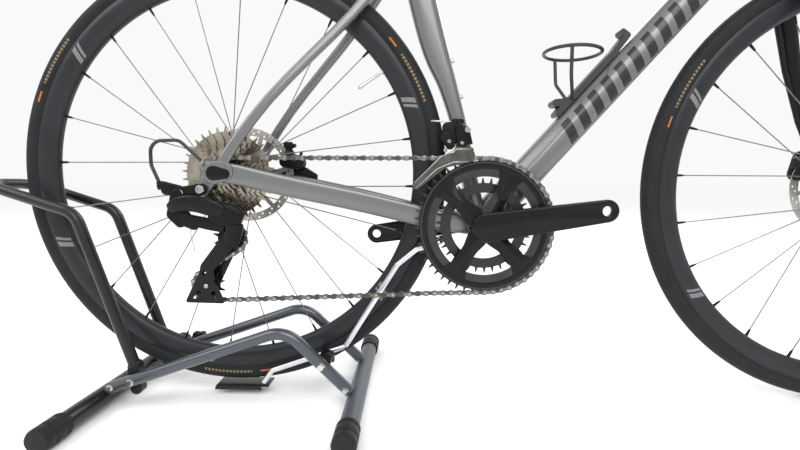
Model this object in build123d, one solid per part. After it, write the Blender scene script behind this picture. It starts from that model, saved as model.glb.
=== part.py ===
from build123d import *
from math import acos, asin, atan2, cos, degrees, hypot, pi, radians, sin, sqrt, tan
import os

os.makedirs("parts", exist_ok=True)

# Driving dimensions, mm. The bike is drawn about its rear axle (x forward, y left, z up),
# then pitched so that the front tyre stands on the floor while the stand holds the rear one up.
WHEELBASE = 984.0
TYRE_R = 339.0
TYRE_W = 28.0
REAR_AXLE_Z = 360.6
RIM_EDGE_R = 316.0
RIM_INNER_R = 286.0
RIM_W = 24.0
SPOKES = 24
SPOKE_R = 1.0
VALVE_ANGLE = 34.9
REAR_HUB_HALF = 70.7
FRONT_HUB_HALF = 49.7
ROTOR_R = 80.0
ROTOR_T = 1.8
ROTOR_Y_REAR = 55.5
ROTOR_Y_FRONT = 38.0
AXLE_R = 6.0
RUN = 0.05

BB_X = 395.0
BB_Z = -70.0
CRANK_LEN = 172.5
CRANK_ANGLE = 9.43
PEDAL_BORE_R = 7.1
SPINDLE_R = 12.0
OUTER_TEETH = 50
INNER_TEETH = 34
RING_Y = -45.0
INNER_RING_Y = -37.4
COGS = [11, 12, 13, 14, 15, 17, 19, 21, 24, 27, 30, 34]
COG_STEP = 3.58
COG_Y = -65.4
COG_T = 1.5
PULLEY_TEETH = 11
GUIDE_X = 18.0
GUIDE_Z = -95.0
CAGE_LEN = 80.0
PITCH = 12.7
ROLLER_R = 3.8
PLATE_T = 0.7
INNER_GAP = 2.1

HEAD_ANGLE = 73.0
HEAD_LOW = (832.0, 345.0)
HEAD_LEN = 149.5
STEERER_R = 14.3
BAR_CLAMP = (878.0, 530.0)
BAR_HALF = 210.0
BAR_R = 12.0
BAR_REACH = 75.0
BAR_DROP = 125.0
TAPE_R = 15.6
SEAT_ANGLE = 74.1
SEAT_TOP = (257.0, 411.0)
POST_R = 13.6
SADDLE_TOP = 632.0

STAND_TUBE_R = 9.0
CROSS_R = 14.0
CROSS_HALF = 188.0
CAP_R = 17.0
CAP_LEN = 46.0
CROSS_Z = 16.4
FRONT_CROSS_X = 200.0
REAR_CROSS_X = -195.0
SIDE_Y = 65.0
HOOP_Y = 46.5
HOOP_R = 8.5
HOOP_PIVOT = (-144.0, 43.5)
HOOP_BACK = 379.5
WIRE_R = 4.25
WIRE_Y = 22.0

PITCH_ANGLE = degrees(asin((REAR_AXLE_Z - TYRE_R) / WHEELBASE))
FRONT_REACH = WHEELBASE * cos(radians(PITCH_ANGLE)) + TYRE_R
AXLE_X = -(FRONT_REACH - HOOP_BACK) / 2
BIKE = Pos(AXLE_X, 0, REAR_AXLE_Z) * Rot(0, PITCH_ANGLE, 0)
STAND = Pos(AXLE_X, 0, 0)


def write(node, place, *shapes):
    solids = [solid for shape in shapes for solid in (place * shape).solids()]
    whole = solids[0] if len(solids) == 1 else Compound(children=solids)
    export_step(whole, "parts/" + node + ".step")


def side(y):
    """A plane at y whose sketch x, y are the frame's x, z; extruding goes towards -y."""
    return Plane(origin=(0, y, 0), x_dir=(1, 0, 0), z_dir=(0, -1, 0))


def slab(sketch, low, high):
    return extrude(side(high) * sketch, amount=high - low)


def disc(x, z, r, low, high):
    return slab(Pos(x, z) * Circle(r), low, high)


def spun(points):
    """A closed profile of (radius, y) points turned about the y axis through the origin."""
    return revolve(make_face(Polyline(*points, close=True)), Axis.Y)


def rod(points, r, bend=None, inner=None):
    path = FilletPolyline(*points, radius=bend) if bend else Polyline(*points)
    section = Circle(r) - Circle(inner) if inner else Circle(r)
    return sweep(Plane(origin=path @ 0, z_dir=path % 0) * section, path=path)


def bar(a, b, r, end_r=None):
    """A straight round rod from a to b, tapering to end_r."""
    way = Vector(*b) - Vector(*a)
    plane = Plane(origin=a, z_dir=way)
    if end_r is None:
        return extrude(plane * Circle(r), amount=way.length)
    return loft([plane * Circle(r), Plane(origin=b, z_dir=way) * Circle(end_r)])


def box(x0, x1, y0, y1, z0, z1):
    size = Box(x1 - x0, y1 - y0, z1 - z0)
    return Pos((x0 + x1) / 2, (y0 + y1) / 2, (z0 + z1) / 2) * size


def mirrored(shape):
    return shape.mirror(Plane.XZ)


def tube_of(stations):
    """A loft through (x, y, z, long, wide, round, direction) sections across a tube."""
    faces = []
    for x, y, z, long, wide, rounding, way in stations:
        plane = Plane(origin=(x, y, z), x_dir=(0, 1, 0), z_dir=way)
        faces.append(plane * RectangleRounded(wide, long, rounding))
    return loft(faces, ruled=True)


def hull_plate(circles):
    """The outline round a chain of (x, z, r) circles, as a sketch."""
    shape = Sketch()
    for (x0, z0, r0), (x1, z1, r1) in zip(circles, circles[1:]):
        shape += Pos(x0, z0) * Circle(r0)
        shape += Pos(x1, z1) * Circle(r1)
        run = hypot(x1 - x0, z1 - z0)
        turn = atan2(z1 - z0, x1 - x0)
        lean = acos((r0 - r1) / run)
        corners = []
        for sign in (1, -1):
            a = turn + sign * lean
            pair = [(x0 + r0 * cos(a), z0 + r0 * sin(a)), (x1 + r1 * cos(a), z1 + r1 * sin(a))]
            corners += pair if sign == 1 else pair[::-1]
        shape += make_face(Polyline(*corners, close=True))
    return shape


# Chain: pins stepped one pitch at a time round the ring, cog, guide and tension pulleys.
def pitch_r(teeth):
    return PITCH / (2 * sin(pi / teeth))


def tangent(a, b):
    """Where a belt leaves wheel a and meets wheel b; a wheel is (x, z, r, turn)."""
    run = hypot(b[0] - a[0], b[1] - a[1])
    base = atan2(b[1] - a[1], b[0] - a[0])
    at = base - acos((a[2] * a[3] - b[2] * b[3]) / run)
    pa = (a[0] + a[2] * a[3] * cos(at), a[1] + a[2] * a[3] * sin(at))
    pb = (b[0] + b[2] * b[3] * cos(at), b[1] + b[2] * b[3] * sin(at))
    return pa, pb


def loop_points(wheels):
    """The belt line round the wheels as closely spaced points."""
    count = len(wheels)
    legs = [tangent(wheels[i], wheels[(i + 1) % count]) for i in range(count)]
    line = []
    for i, wheel in enumerate(wheels):
        arrive = legs[i - 1][1]
        leave = legs[i][0]
        start = atan2(arrive[1] - wheel[1], arrive[0] - wheel[0])
        sweep_by = (atan2(leave[1] - wheel[1], leave[0] - wheel[0]) - start) * wheel[3]
        sweep_by = (sweep_by % (2 * pi)) * wheel[3]
        steps = int(abs(sweep_by) * wheel[2] / 0.2) + 2
        for k in range(steps):
            a = start + sweep_by * k / steps
            line.append((wheel[0] + wheel[2] * cos(a), wheel[1] + wheel[2] * sin(a)))
        meet = legs[i][1]
        steps = int(hypot(meet[0] - leave[0], meet[1] - leave[1]) / 0.2) + 1
        for k in range(steps):
            share = k / steps
            line.append((leave[0] + (meet[0] - leave[0]) * share, leave[1] + (meet[1] - leave[1]) * share))
    return line


def step_pins(line, count):
    """count pins from the line's first point, a pitch apart, and what is left over."""
    pins = [line[0]]
    travelled = 0.0
    k = 1
    total = len(line)
    while len(pins) <= count and k < 2 * total:
        x, z = line[k % total]
        px, pz = pins[-1]
        if hypot(x - px, z - pz) >= PITCH:
            x0, z0 = line[(k - 1) % total]
            low, high = 0.0, 1.0
            for _ in range(40):
                mid = (low + high) / 2
                if hypot(x0 + (x - x0) * mid - px, z0 + (z - z0) * mid - pz) < PITCH:
                    low = mid
                else:
                    high = mid
            pins.append((x0 + (x - x0) * high, z0 + (z - z0) * high))
            travelled = k - 1 + high
        else:
            k += 1
    return pins, travelled - total


def wheels_at(angle):
    tx = GUIDE_X + CAGE_LEN * cos(radians(angle))
    tz = GUIDE_Z + CAGE_LEN * sin(radians(angle))
    pulley = pitch_r(PULLEY_TEETH)
    return [
        (BB_X, BB_Z, pitch_r(OUTER_TEETH), 1),
        (0, 0, pitch_r(COGS[0]), 1),
        (GUIDE_X, GUIDE_Z, pulley, -1),
        (tx, tz, pulley, 1),
    ]


def links_at(angle):
    line = loop_points(wheels_at(angle))
    length = sum(hypot(b[0] - a[0], b[1] - a[1]) for a, b in zip(line, line[1:] + line[:1]))
    return line, length


LINKS = 2 * round(links_at(243.0)[1] / PITCH / 2)
low_angle, high_angle = 236.0, 252.0
for _ in range(22):
    cage_angle = (low_angle + high_angle) / 2
    belt, _ = links_at(cage_angle)
    pins, short = step_pins(belt, LINKS)
    if (short > 0) == (step_pins(links_at(low_angle)[0], LINKS)[1] > 0):
        low_angle = cage_angle
    else:
        high_angle = cage_angle
pins = pins[:LINKS]
WHEELS = wheels_at(cage_angle)
TENSION_X, TENSION_Z = WHEELS[3][0], WHEELS[3][1]
print("links", LINKS, "cage angle", round(cage_angle, 3), "closing gap index", round(short, 4))


def chain_y(x):
    share = min(max((x - 40) / 280, 0), 1)
    return COG_Y + (RING_Y - COG_Y) * share


def phase(wheel):
    """The angle of one roller seated on a wheel, degrees."""
    for x, z in pins:
        if abs(hypot(x - wheel[0], z - wheel[1]) - wheel[2]) < 0.002:
            return degrees(atan2(z - wheel[1], x - wheel[0]))
    return 0.0


def toothed(teeth, thick, start, y, bore):
    """A sprocket about the origin with a roller seat at angle start."""
    r = pitch_r(teeth)
    root = r - ROLLER_R - 0.25
    tip = r + 3.4
    blade = Sketch()
    for k in range(teeth):
        a = start + 360.0 * (k + 0.5) / teeth
        tooth = Polygon((root - 2, -3.4), (root + 1.0, -2.1), (tip, -0.7), (tip, 0.7), (root + 1.0, 2.1),
                        (root - 2, 3.4), align=None)
        blade += Rot(0, 0, a) * tooth
    blade += Circle(root)
    blade -= Circle(bore)
    return slab(blade, y - thick / 2, y + thick / 2)


# ---- Stand
cross_bores = []
for x in (FRONT_CROSS_X, REAR_CROSS_X):
    cross_bores.append(bar((x, -400, CROSS_Z), (x, 400, CROSS_Z), CROSS_R + 0.12))
cross_inner = CROSS_HALF - 6
front_tube = bar((FRONT_CROSS_X, -cross_inner, CROSS_Z), (FRONT_CROSS_X, cross_inner, CROSS_Z), CROSS_R)
rear_tube = bar((REAR_CROSS_X, -cross_inner, CROSS_Z), (REAR_CROSS_X, cross_inner, CROSS_Z), CROSS_R)
write("stand_front_tube", STAND, front_tube)
write("stand_rear_tube", STAND, rear_tube)
caps = []
for x in (FRONT_CROSS_X, REAR_CROSS_X):
    for sign in (-1, 1):
        near = sign * (CROSS_HALF - CAP_LEN)
        far = sign * CROSS_HALF
        cap = bar((x, near, CROSS_Z), (x, far, CROSS_Z), CAP_R)
        cap -= bar((x, near - sign, CROSS_Z), (x, sign * cross_inner, CROSS_Z), CROSS_R + 0.12)
        cap -= box(x - 40, x + 40, -400, 400, -40, 0)
        caps.append(cap)
write("stand_end_caps", STAND, *caps)

SIDE_PATH = [(REAR_CROSS_X + 12, 30.5), (93.5, 126.0), (FRONT_CROSS_X - 9, 30.0)]
sides = []
for y in (-SIDE_Y, SIDE_Y):
    tube = rod([(x, y, z) for x, z in SIDE_PATH], STAND_TUBE_R, bend=45)
    sides.append(tube - cross_bores[0] - cross_bores[1])
write("stand_side_tubes", STAND, *sides)

BRACKET = (149.0, 72.0)
bolts = []
for sign in (-1, 1):
    for x, z in (SIDE_PATH[0], SIDE_PATH[2]):
        lift = (7, 4) if x < 0 else (-6, 5)
        foot = (x + lift[0], z + lift[1])
        start = sign * (SIDE_Y + STAND_TUBE_R)
        bolts.append(bar((foot[0], start, foot[1]), (foot[0], start + sign * 3.2, foot[1]), 5.2, 3.6))
    start = sign * (SIDE_Y + STAND_TUBE_R)
    bolts.append(bar((BRACKET[0], start, BRACKET[1]), (BRACKET[0], start + sign * 4, BRACKET[1]), 6.2, 4.6))
bolts.append(bar((HOOP_PIVOT[0], -SIDE_Y - STAND_TUBE_R, HOOP_PIVOT[1]),
                 (HOOP_PIVOT[0], -SIDE_Y - STAND_TUBE_R - 3.4, HOOP_PIVOT[1]), 5.6, 4))

# The hoop hangs on stub pins that stand inwards from the side tubes.
leg = [(-152, 59), (-177, 133), (-199, 196), (-232, 300), (-262, 345), (-HOOP_BACK + HOOP_R, 345)]
hoop_points = [(x, -HOOP_Y, z) for x, z in (leg[0], leg[3], leg[5])]
hoop_points += [(x, HOOP_Y, z) for x, z in (leg[5], leg[3], leg[0])]
hoop = rod(hoop_points, HOOP_R, bend=34)
for sign in (-1, 1):
    block = slab(hull_plate([(HOOP_PIVOT[0] - 4, 24, 9), (leg[0][0] + 1.0, leg[0][1], 9)]), -7, 7)
    block -= disc(HOOP_PIVOT[0], HOOP_PIVOT[1], 4.05, -20, 20)
    block = Pos(0, sign * HOOP_Y, 0) * block
    hoop += block
write("stand_wheel_hoop", STAND, hoop)
stubs = []
for sign in (-1, 1):
    inner = sign * (HOOP_Y - 8)
    stub = bar((HOOP_PIVOT[0], inner, HOOP_PIVOT[1]), (HOOP_PIVOT[0], sign * SIDE_Y, HOOP_PIVOT[1]), 4.0)
    stub -= sides[0] if sign < 0 else sides[1]
    stubs.append(min(stub.solids(), key=lambda s: abs(s.center().Y)))
write("stand_bolts", STAND, *bolts, *stubs)
knob_x, knob_z = -112.0, 54.6
knob = disc(knob_x, knob_z, 17.5, SIDE_Y + 12, SIDE_Y + 26)
for k in range(6):
    a = radians(60 * k)
    knob -= disc(knob_x + 19.5 * cos(a), knob_z + 19.5 * sin(a), 4.5, SIDE_Y, SIDE_Y + 40)
knob += disc(knob_x, knob_z, 7.0, SIDE_Y + STAND_TUBE_R + 0.3, SIDE_Y + 12)
write("stand_lock_knob", STAND, knob)

WIRE_PATH = [(44, 23.5), (58, 43), (178, 85), (262, 218), (292, 243), (334, 256)]
wire_points = [(x, -WIRE_Y, z) for x, z in WIRE_PATH] + [(x, WIRE_Y, z) for x, z in WIRE_PATH[::-1]]
write("stand_wire_loop", STAND, rod(wire_points, WIRE_R, bend=8))
brackets = []
for sign in (-1, 1):
    arm = box(139, 160, min(sign * 26.4, sign * 56), max(sign * 26.4, sign * 56), 69, 75)
    clip = box(139, 160, min(sign * 17, sign * 26.4), max(sign * 17, sign * 26.4), 60, 80)
    slot_tube = bar((149 - 60, sign * WIRE_Y, 74.8 - 21), (149 + 60, sign * WIRE_Y, 74.8 + 21), WIRE_R + 0.3)
    brackets.append(arm + clip - slot_tube)
bracket_cut = [rod([(x, s * SIDE_Y, z) for x, z in SIDE_PATH], STAND_TUBE_R + 0.1, bend=45) for s in (-1, 1)]
brackets = [b - c for b, c in zip(brackets, bracket_cut)]
write("stand_wire_brackets", STAND, *brackets)
plate = Polyline((-17, 0), (-17, 7), (17, 7), (17, 0), (15, 0), (15, 5), (-15, 5), (-15, 0), close=True)
cradle = extrude(Plane(origin=(-40, 0, 7), x_dir=(0, 1, 0), z_dir=(1, 0, 0)) * make_face(plate), amount=78)
for x in (-25, 22):
    cradle -= bar((x, -30, 9.5), (x, 30, 9.5), 1.8)
cradle_arm = box(38, 50, -17, 17, 12, 14)
cradle_ear = box(38, 50, -30, 30, 12, 14) - bar((44, -WIRE_Y, 0), (44, -WIRE_Y, 40), WIRE_R + 0.2)
cradle_ear -= bar((44, WIRE_Y, 0), (44, WIRE_Y, 40), WIRE_R + 0.2)
write("stand_cradle_plate", STAND, cradle + cradle_ear)

# ---- Wheels
tyre_mid = TYRE_R - TYRE_W / 2


def wheel_tyre():
    section = Pos(tyre_mid, 0) * Circle(TYRE_W / 2)
    section -= Pos(RIM_EDGE_R - 60 + 0.2, 0) * Rectangle(120, 60)
    section += Pos(RIM_EDGE_R - 3.5, 0) * Rectangle(8.4, 17.4)
    return revolve(section, Axis.Y)


def wheel_rim():
    half = RIM_W / 2
    well = RIM_EDGE_R - 8
    outline = [(RIM_EDGE_R, -half + 1), (RIM_EDGE_R - 8, -half), (RIM_EDGE_R - 16, -half + 0.6),
               (RIM_INNER_R + 5, -half + 5), (RIM_INNER_R, -4), (RIM_INNER_R, 4), (RIM_INNER_R + 5, half - 5),
               (RIM_EDGE_R - 16, half - 0.6), (RIM_EDGE_R - 8, half), (RIM_EDGE_R, half - 1),
               (RIM_EDGE_R, 8.9), (well, 8.9), (well, -8.9), (RIM_EDGE_R, -8.9)]
    rim = spun(outline)
    valve = bar((RIM_INNER_R + 3, 0, 0), (241, 0, 0), 2.6)
    valve += bar((247, 0, 0), (240, 0, 0), 3.2)
    return rim + Rot(0, -VALVE_ANGLE, 0) * valve


def wheel_spokes(flange_r, left_y, right_y, cross):
    spokes = []
    for k in range(SPOKES):
        rim_a = radians(VALVE_ANGLE + 7.5 + 360.0 * k / SPOKES)
        y = left_y if k % 2 else right_y
        lean = cross if (k // 2) % 2 else -cross
        hub_a = rim_a + radians(lean)
        outer = RIM_INNER_R + 1.5
        head = (flange_r * cos(hub_a), y, flange_r * sin(hub_a))
        tip = (outer * cos(rim_a), 0.03 * y, outer * sin(rim_a))
        spokes.append(bar(head, tip, SPOKE_R))
    return spokes


def rotor(y):
    blade = Circle(ROTOR_R) - Circle(ROTOR_R - 13)
    for k in range(24):
        a = 15.0 * k
        blade -= Rot(0, 0, a) * (Pos(ROTOR_R - 4.0, 0) * Circle(1.7))
        blade -= Rot(0, 0, a + 6) * (Pos(ROTOR_R - 8.8, 0) * Circle(1.7))
    blade += Circle(28) - Circle(22.3)
    for k in range(6):
        arm = Pos(46, 6) * Rot(0, 0, 14) * Rectangle(48, 7)
        blade += Rot(0, 0, 60.0 * k) * arm
    blade -= Circle(22.3)
    return slab(blade, y - ROTOR_T / 2, y + ROTOR_T / 2)


FREEHUB_R = 15.5
rear_profile = [(AXLE_R + RUN, -REAR_HUB_HALF), (11, -REAR_HUB_HALF), (11, -68.5), (FREEHUB_R, -68.5),
                (FREEHUB_R, -24), (20, -24), (25, -22.5), (25, -18), (14, -10), (13, 24), (25, 31), (25, 35),
                (16, 38), (16, 51), (22, 52), (22, 57.5), (16, 60), (11, 62), (11, REAR_HUB_HALF),
                (AXLE_R + RUN, REAR_HUB_HALF)]
front_profile = [(AXLE_R + RUN, -FRONT_HUB_HALF), (10, -FRONT_HUB_HALF), (11, -42), (22, -38), (22, -34),
                 (12, -26), (12, 14), (22, 20), (22, 25), (14, 28), (14, 33), (22, 34), (22, 40), (16, 43),
                 (10, 45), (10, FRONT_HUB_HALF), (AXLE_R + RUN, FRONT_HUB_HALF)]
FRONT = Pos(WHEELBASE, 0, 0)
for tag, shift in (("front", FRONT), ("rear", Pos(0, 0, 0))):
    write(tag + "_tyre", BIKE, shift * wheel_tyre())
    write(tag + "_rim", BIKE, shift * wheel_rim())
write("rear_spokes", BIKE, *wheel_spokes(23.0, 33.0, -20.2, 62))
write("front_spokes", BIKE, *[FRONT * s for s in wheel_spokes(20.0, 22.5, -36.0, 62)])
write("rear_hub", BIKE, spun(rear_profile))
write("front_hub", BIKE, FRONT * spun(front_profile))
write("rear_rotor", BIKE, rotor(ROTOR_Y_REAR))
write("front_rotor", BIKE, FRONT * rotor(ROTOR_Y_FRONT))
rear_axle = bar((0, -78.5, 0), (0, 79, 0), AXLE_R) + bar((0, 79.7, 0), (0, 83.5, 0), 8.5) + bar((0, 79, 0), (0, 80, 0), 6)
write("rear_thru_axle", BIKE, rear_axle)
front_axle = bar((0, -61, 0), (0, 61, 0), AXLE_R) + bar((0, -62, 0), (0, -65.5, 0), 8.5) + bar((0, -61, 0), (0, -62.5, 0), 6)
write("front_thru_axle", BIKE, FRONT * front_axle)

# ---- Cassette
cogs = []
for k, teeth in enumerate(COGS):
    start = phase(WHEELS[1]) if k == 0 else 7.0 * k
    y = COG_Y + COG_STEP * k
    cog = toothed(teeth, COG_T, start, y, FREEHUB_R + RUN + 0.02)
    if teeth > 19:
        r = pitch_r(teeth)
        for j in range(6):
            a = radians(60 * j + 10 * k)
            cog -= disc((r + 16) / 2 * cos(a) * 1.05, (r + 16) / 2 * sin(a) * 1.05, (r - 28) / 5.5, y - 5, y + 5)
    cogs.append(cog)
    if k:
        cogs.append(slab(Circle(17.3 + 0.8 * (k > 1)) - Circle(FREEHUB_R + RUN + 0.02), y - COG_STEP + COG_T / 2, y - COG_T / 2))
cassette = cogs[0]
for piece in cogs[1:]:
    cassette += piece
write("cassette", BIKE, cassette)

# ---- Crankset
CRANK = Pos(BB_X, 0, BB_Z)
arm_way = radians(CRANK_ANGLE)
hole = (CRANK_LEN * cos(arm_way), CRANK_LEN * sin(arm_way))
arm_line = [(0, 0, 22), (hole[0] * 0.5, hole[1] * 0.5, 19), (hole[0], hole[1], 16.8)]
right_arm = slab(hull_plate(arm_line), -73, -60.5)
right_arm += disc(0, 0, 22, -73, -52)
for a in (65, 138, 239, 315):
    root = (14 * cos(radians(a)), 14 * sin(radians(a)), 13)
    tip = (84 * cos(radians(a)), 84 * sin(radians(a)), 8)
    right_arm += slab(hull_plate([root, tip]), -56, -49)
right_arm -= disc(hole[0], hole[1], PEDAL_BORE_R, -80, -40)
spindle = disc(0, 0, SPINDLE_R, -49, 57)
write("crank_arm_right", BIKE, CRANK * right_arm, CRANK * spindle)
left_line = [(-x, -z, r) for x, z, r in [(0, 0, 20), (hole[0] * 0.5, hole[1] * 0.5, 17.5), (hole[0], hole[1], 16.5)]]
left_arm = slab(hull_plate(left_line), 60.5, 73) + disc(0, 0, 20, 46, 73)
left_arm -= disc(0, 0, SPINDLE_R + 0.02, 40, 57)
left_arm -= disc(-hole[0], -hole[1], PEDAL_BORE_R, 40, 90)
write("crank_arm_left", BIKE, CRANK * left_arm)
outer_ring = toothed(OUTER_TEETH, 1.8, phase(WHEELS[0]), RING_Y, 74)
outer_ring += slab(Circle(96) - Circle(74), RING_Y - 4, RING_Y)
for a in (65, 138, 239, 315):
    tab = slab(Pos(78 * cos(radians(a)), 78 * sin(radians(a))) * Circle(9), RING_Y - 4, RING_Y + 0.5)
    outer_ring += tab
write("outer_chainring", BIKE, CRANK * outer_ring)
inner_ring = toothed(INNER_TEETH, 1.8, 3.0, INNER_RING_Y, 50)
for a in (65, 138, 239, 315):
    tab = Pos(54 * cos(radians(a)), 54 * sin(radians(a))) * Circle(8)
    inner_ring += slab(tab, RING_Y - 4, INNER_RING_Y + 0.9)
write("inner_chainring", BIKE, CRANK * inner_ring)
# ---- Chain
roller_y = INNER_GAP / 2
inner_link = slab(Rot(0, 0, 0) * SlotCenterToCenter(PITCH, 7.8), roller_y, roller_y + PLATE_T)
inner_link += slab(SlotCenterToCenter(PITCH, 7.8), -roller_y - PLATE_T, -roller_y)
for x in (-PITCH / 2, PITCH / 2):
    inner_link += disc(x, 0, ROLLER_R, -roller_y, roller_y)
plate_at = roller_y + PLATE_T + 0.02
outer_plates = []
for sign in (-1, 1):
    low, high = sorted((sign * plate_at, sign * (plate_at + PLATE_T)))
    plate_solid = slab(SlotCenterToCenter(PITCH, 7.8), low, high)
    low, high = sorted((sign * (plate_at + PLATE_T), sign * (plate_at + PLATE_T + 0.1)))
    for x in (-PITCH / 2, PITCH / 2):
        plate_solid += disc(x, 0, 1.8, low, high)
    outer_plates.append(plate_solid)
chain_solids = []
for k in range(LINKS):
    x0, z0 = pins[k]
    x1, z1 = pins[(k + 1) % LINKS]
    y0, y1 = chain_y(x0), chain_y(x1)
    way = degrees(atan2(z1 - z0, x1 - x0))
    drift = degrees(atan2(y1 - y0, hypot(x1 - x0, z1 - z0)))
    at = Pos((x0 + x1) / 2, (y0 + y1) / 2, (z0 + z1) / 2) * Rot(0, -way, 0) * Rot(0, 0, drift)
    for solid in ([inner_link] if k % 2 else outer_plates):
        chain_solids.append(at * solid)
write("chain", BIKE, *chain_solids)

# ---- Frame
HEAD_WAY = (-cos(radians(HEAD_ANGLE)), sin(radians(HEAD_ANGLE)))
SEAT_WAY = (-cos(radians(SEAT_ANGLE)), sin(radians(SEAT_ANGLE)))


def on_head(d):
    return (HEAD_LOW[0] + HEAD_WAY[0] * d, 0, HEAD_LOW[1] + HEAD_WAY[1] * d)


def seat_point(d, off):
    """d up the seat tube from its top, off to the front of its axis."""
    return (SEAT_TOP[0] + SEAT_WAY[0] * d + SEAT_WAY[1] * off, 0, SEAT_TOP[1] + SEAT_WAY[1] * d - SEAT_WAY[0] * off)


head_outer = loft([Plane(origin=on_head(d), z_dir=(HEAD_WAY[0], 0, HEAD_WAY[1])) * Circle(r)
                   for d, r in ((0, 28), (45, 26), (110, 23.5), (HEAD_LEN, 23))])
head_bore = bar(on_head(-5), on_head(HEAD_LEN + 5), 19)
head_tube = head_outer - head_bore
write("head_tube", BIKE, head_tube)

bb_shell = disc(BB_X, BB_Z, 23.5, -34, 34)
bb_bore = disc(BB_X, BB_Z, 17, -60, 60)
write("bottom_bracket_shell", BIKE, bb_shell - bb_bore)
bb_keep = disc(BB_X, BB_Z, 23.6, -60, 60)

dt_low = (BB_X + 10, 0, BB_Z + 12)
dt_high = (797.0, 0, 397.0)
dt_way = (Vector(*dt_high) - Vector(*dt_low)).normalized()


def facet(at, thick, wide):
    plane = Plane(origin=at, x_dir=(0, 1, 0), z_dir=dt_way)
    half = wide / 2
    points = [(-half, -thick * 0.18), (-half * 0.86, -thick * 0.42), (-half * 0.55, -thick / 2),
              (half * 0.55, -thick / 2), (half * 0.86, -thick * 0.42), (half, -thick * 0.18),
              (half * 0.98, thick * 0.16), (half * 0.5, thick / 2), (-half * 0.5, thick / 2),
              (-half * 0.98, thick * 0.16)]
    return plane * make_face(Polyline(*points, close=True))


down_tube = loft([facet(dt_low, 50, 60), facet(tuple(Vector(*dt_low) + dt_way * 110), 47, 52),
                  facet(tuple(Vector(*dt_low) + dt_way * 380), 46, 50), facet(dt_high, 47, 46)], ruled=True)
head_keep = bar(on_head(-20), on_head(HEAD_LEN + 20), 28.2)
down_tube = down_tube - bb_keep - head_keep

seat_sections = [(388, -48, 28, 50, 10), (371, 10, 27, 38, 10), (354, 92, 25, 32, 9), (343.7, 122, 27.5, 30, 10),
                 (334.5, 152, 30.5, 29, 11), (323, 176, 38.5, 29, 12), (310.4, 212, 42.8, 29, 13),
                 (295.5, 264, 43, 30, 13), (SEAT_TOP[0], SEAT_TOP[1], 42, 30, 13)]
seat_sections = [(x, 0, z, long, wide, rounding, (0, 0, 1)) for x, z, long, wide, rounding in seat_sections]
seat_tube = tube_of(seat_sections)
seat_tube -= bar((SEAT_TOP[0] - SEAT_WAY[0] * 150, 0, SEAT_TOP[1] - SEAT_WAY[1] * 150),
                 (SEAT_TOP[0] + SEAT_WAY[0] * 20, 0, SEAT_TOP[1] + SEAT_WAY[1] * 20), POST_R + RUN)
seat_tube -= bb_keep
write("seat_tube", BIKE, seat_tube - down_tube)
write("down_tube", BIKE, down_tube)

tt_way = (1, 0, 0.132)
seat_face = (SEAT_WAY[1], 0, -SEAT_WAY[0])
top_tube = tube_of([(282.4, 0, 396, 30, 28, 12, seat_face), (500, 0, 427, 32, 34, 12, tt_way),
                    (700, 0, 453, 36, 38, 13, tt_way), (800, 0, 462, 40, 40, 14, tt_way)])
write("top_tube", BIKE, top_tube - head_keep)

stays = []
for sign in (-1, 1):
    path = [(14, 75.4, 1, 32, 8.0), (40, 68.5, -3, 30, 11), (85, 61.5, -14, 31, 12), (150, 50, -26, 32, 15),
            (215, 41, -38, 33, 16), (295, 31.5, -57, 33, 16), (345, 26.5, -66, 33, 15), (380, 24, -70, 33, 15)]
    stay = tube_of([(x, sign * y, z, tall, wide, 3.8, (1, 0, -0.18)) for x, y, z, tall, wide in path])
    drop_plate = slab(Circle(17) + Pos(12, 2) * Rectangle(22, 31), 71.2, 79.6)
    if sign < 0:
        drop_plate = mirrored(drop_plate)
    if sign < 0:
        hanger = slab(hull_plate([(-3, -6, 10), (-17, -24, 8.5)]), -77.5, -71.2)
        drop_plate += hanger
    stay += drop_plate
    stay -= disc(0, 0, AXLE_R + 0.02, -100, 100)
    if sign < 0:
        stay -= slab(hull_plate([(0, 0, 9.5), (16, -1, 6.5)]), -90, -78.6)
    stays.append(stay - bb_keep)
write("chainstays", BIKE, *stays)

seat_stays = []
stay_way = (0.7, 0, 0.72)
for sign in (-1, 1):
    line = [(13, 75.2, 17.7, 16, 8.0, (0, 0, 1)), (29, 70, 46, 16, 9.5, stay_way), (72, 60, 108, 15, 11, stay_way),
            (130, 45, 172, 15, 12, stay_way), (194, 27, 240, 15.5, 13, stay_way), (240, 13, 306, 18, 13, stay_way),
            (254.6, 8.6, 332, 21, 12.5, seat_face)]
    seat_stays.append(tube_of([(x, sign * y, z, long, wide, 3.8, way) for x, y, z, long, wide, way in line]))
write("seatstays", BIKE, *seat_stays)

# ---- Frame small parts
cups = []
for sign in (-1, 1):
    low, high = sorted((sign * 34, sign * 44))
    cups.append(disc(BB_X, BB_Z, 21.5, low, high) - disc(BB_X, BB_Z, SPINDLE_R + RUN, -60, 60))
low_race = bar(on_head(2), on_head(14), 19) - bar(on_head(0), on_head(16), STEERER_R + RUN)
high_race = bar(on_head(HEAD_LEN - 14), on_head(HEAD_LEN), 19)
high_race -= bar(on_head(HEAD_LEN - 16), on_head(HEAD_LEN + 2), STEERER_R + RUN)
write("frame_bearings", BIKE, *cups, low_race, high_race)


fasteners = []
for at in ((341.0, 181.0), (356.5, 127.0)):
    head = (at[0] + 4.5 * SEAT_WAY[1], 0, at[1] - 4.5 * SEAT_WAY[0])
    fasteners.append(bar((at[0] - 7, 0, at[1] - 2), head, 3.4) - seat_tube)
collar = bar(seat_point(0.2, 0), seat_point(5.2, 0), 21.5) - bar(seat_point(-3, 0), seat_point(8, 0), POST_R + RUN)
fasteners.append(collar - seat_tube)
fasteners = [max(f.solids(), key=lambda s: s.volume) for f in fasteners]
write("frame_fasteners", BIKE, *fasteners)

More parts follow.
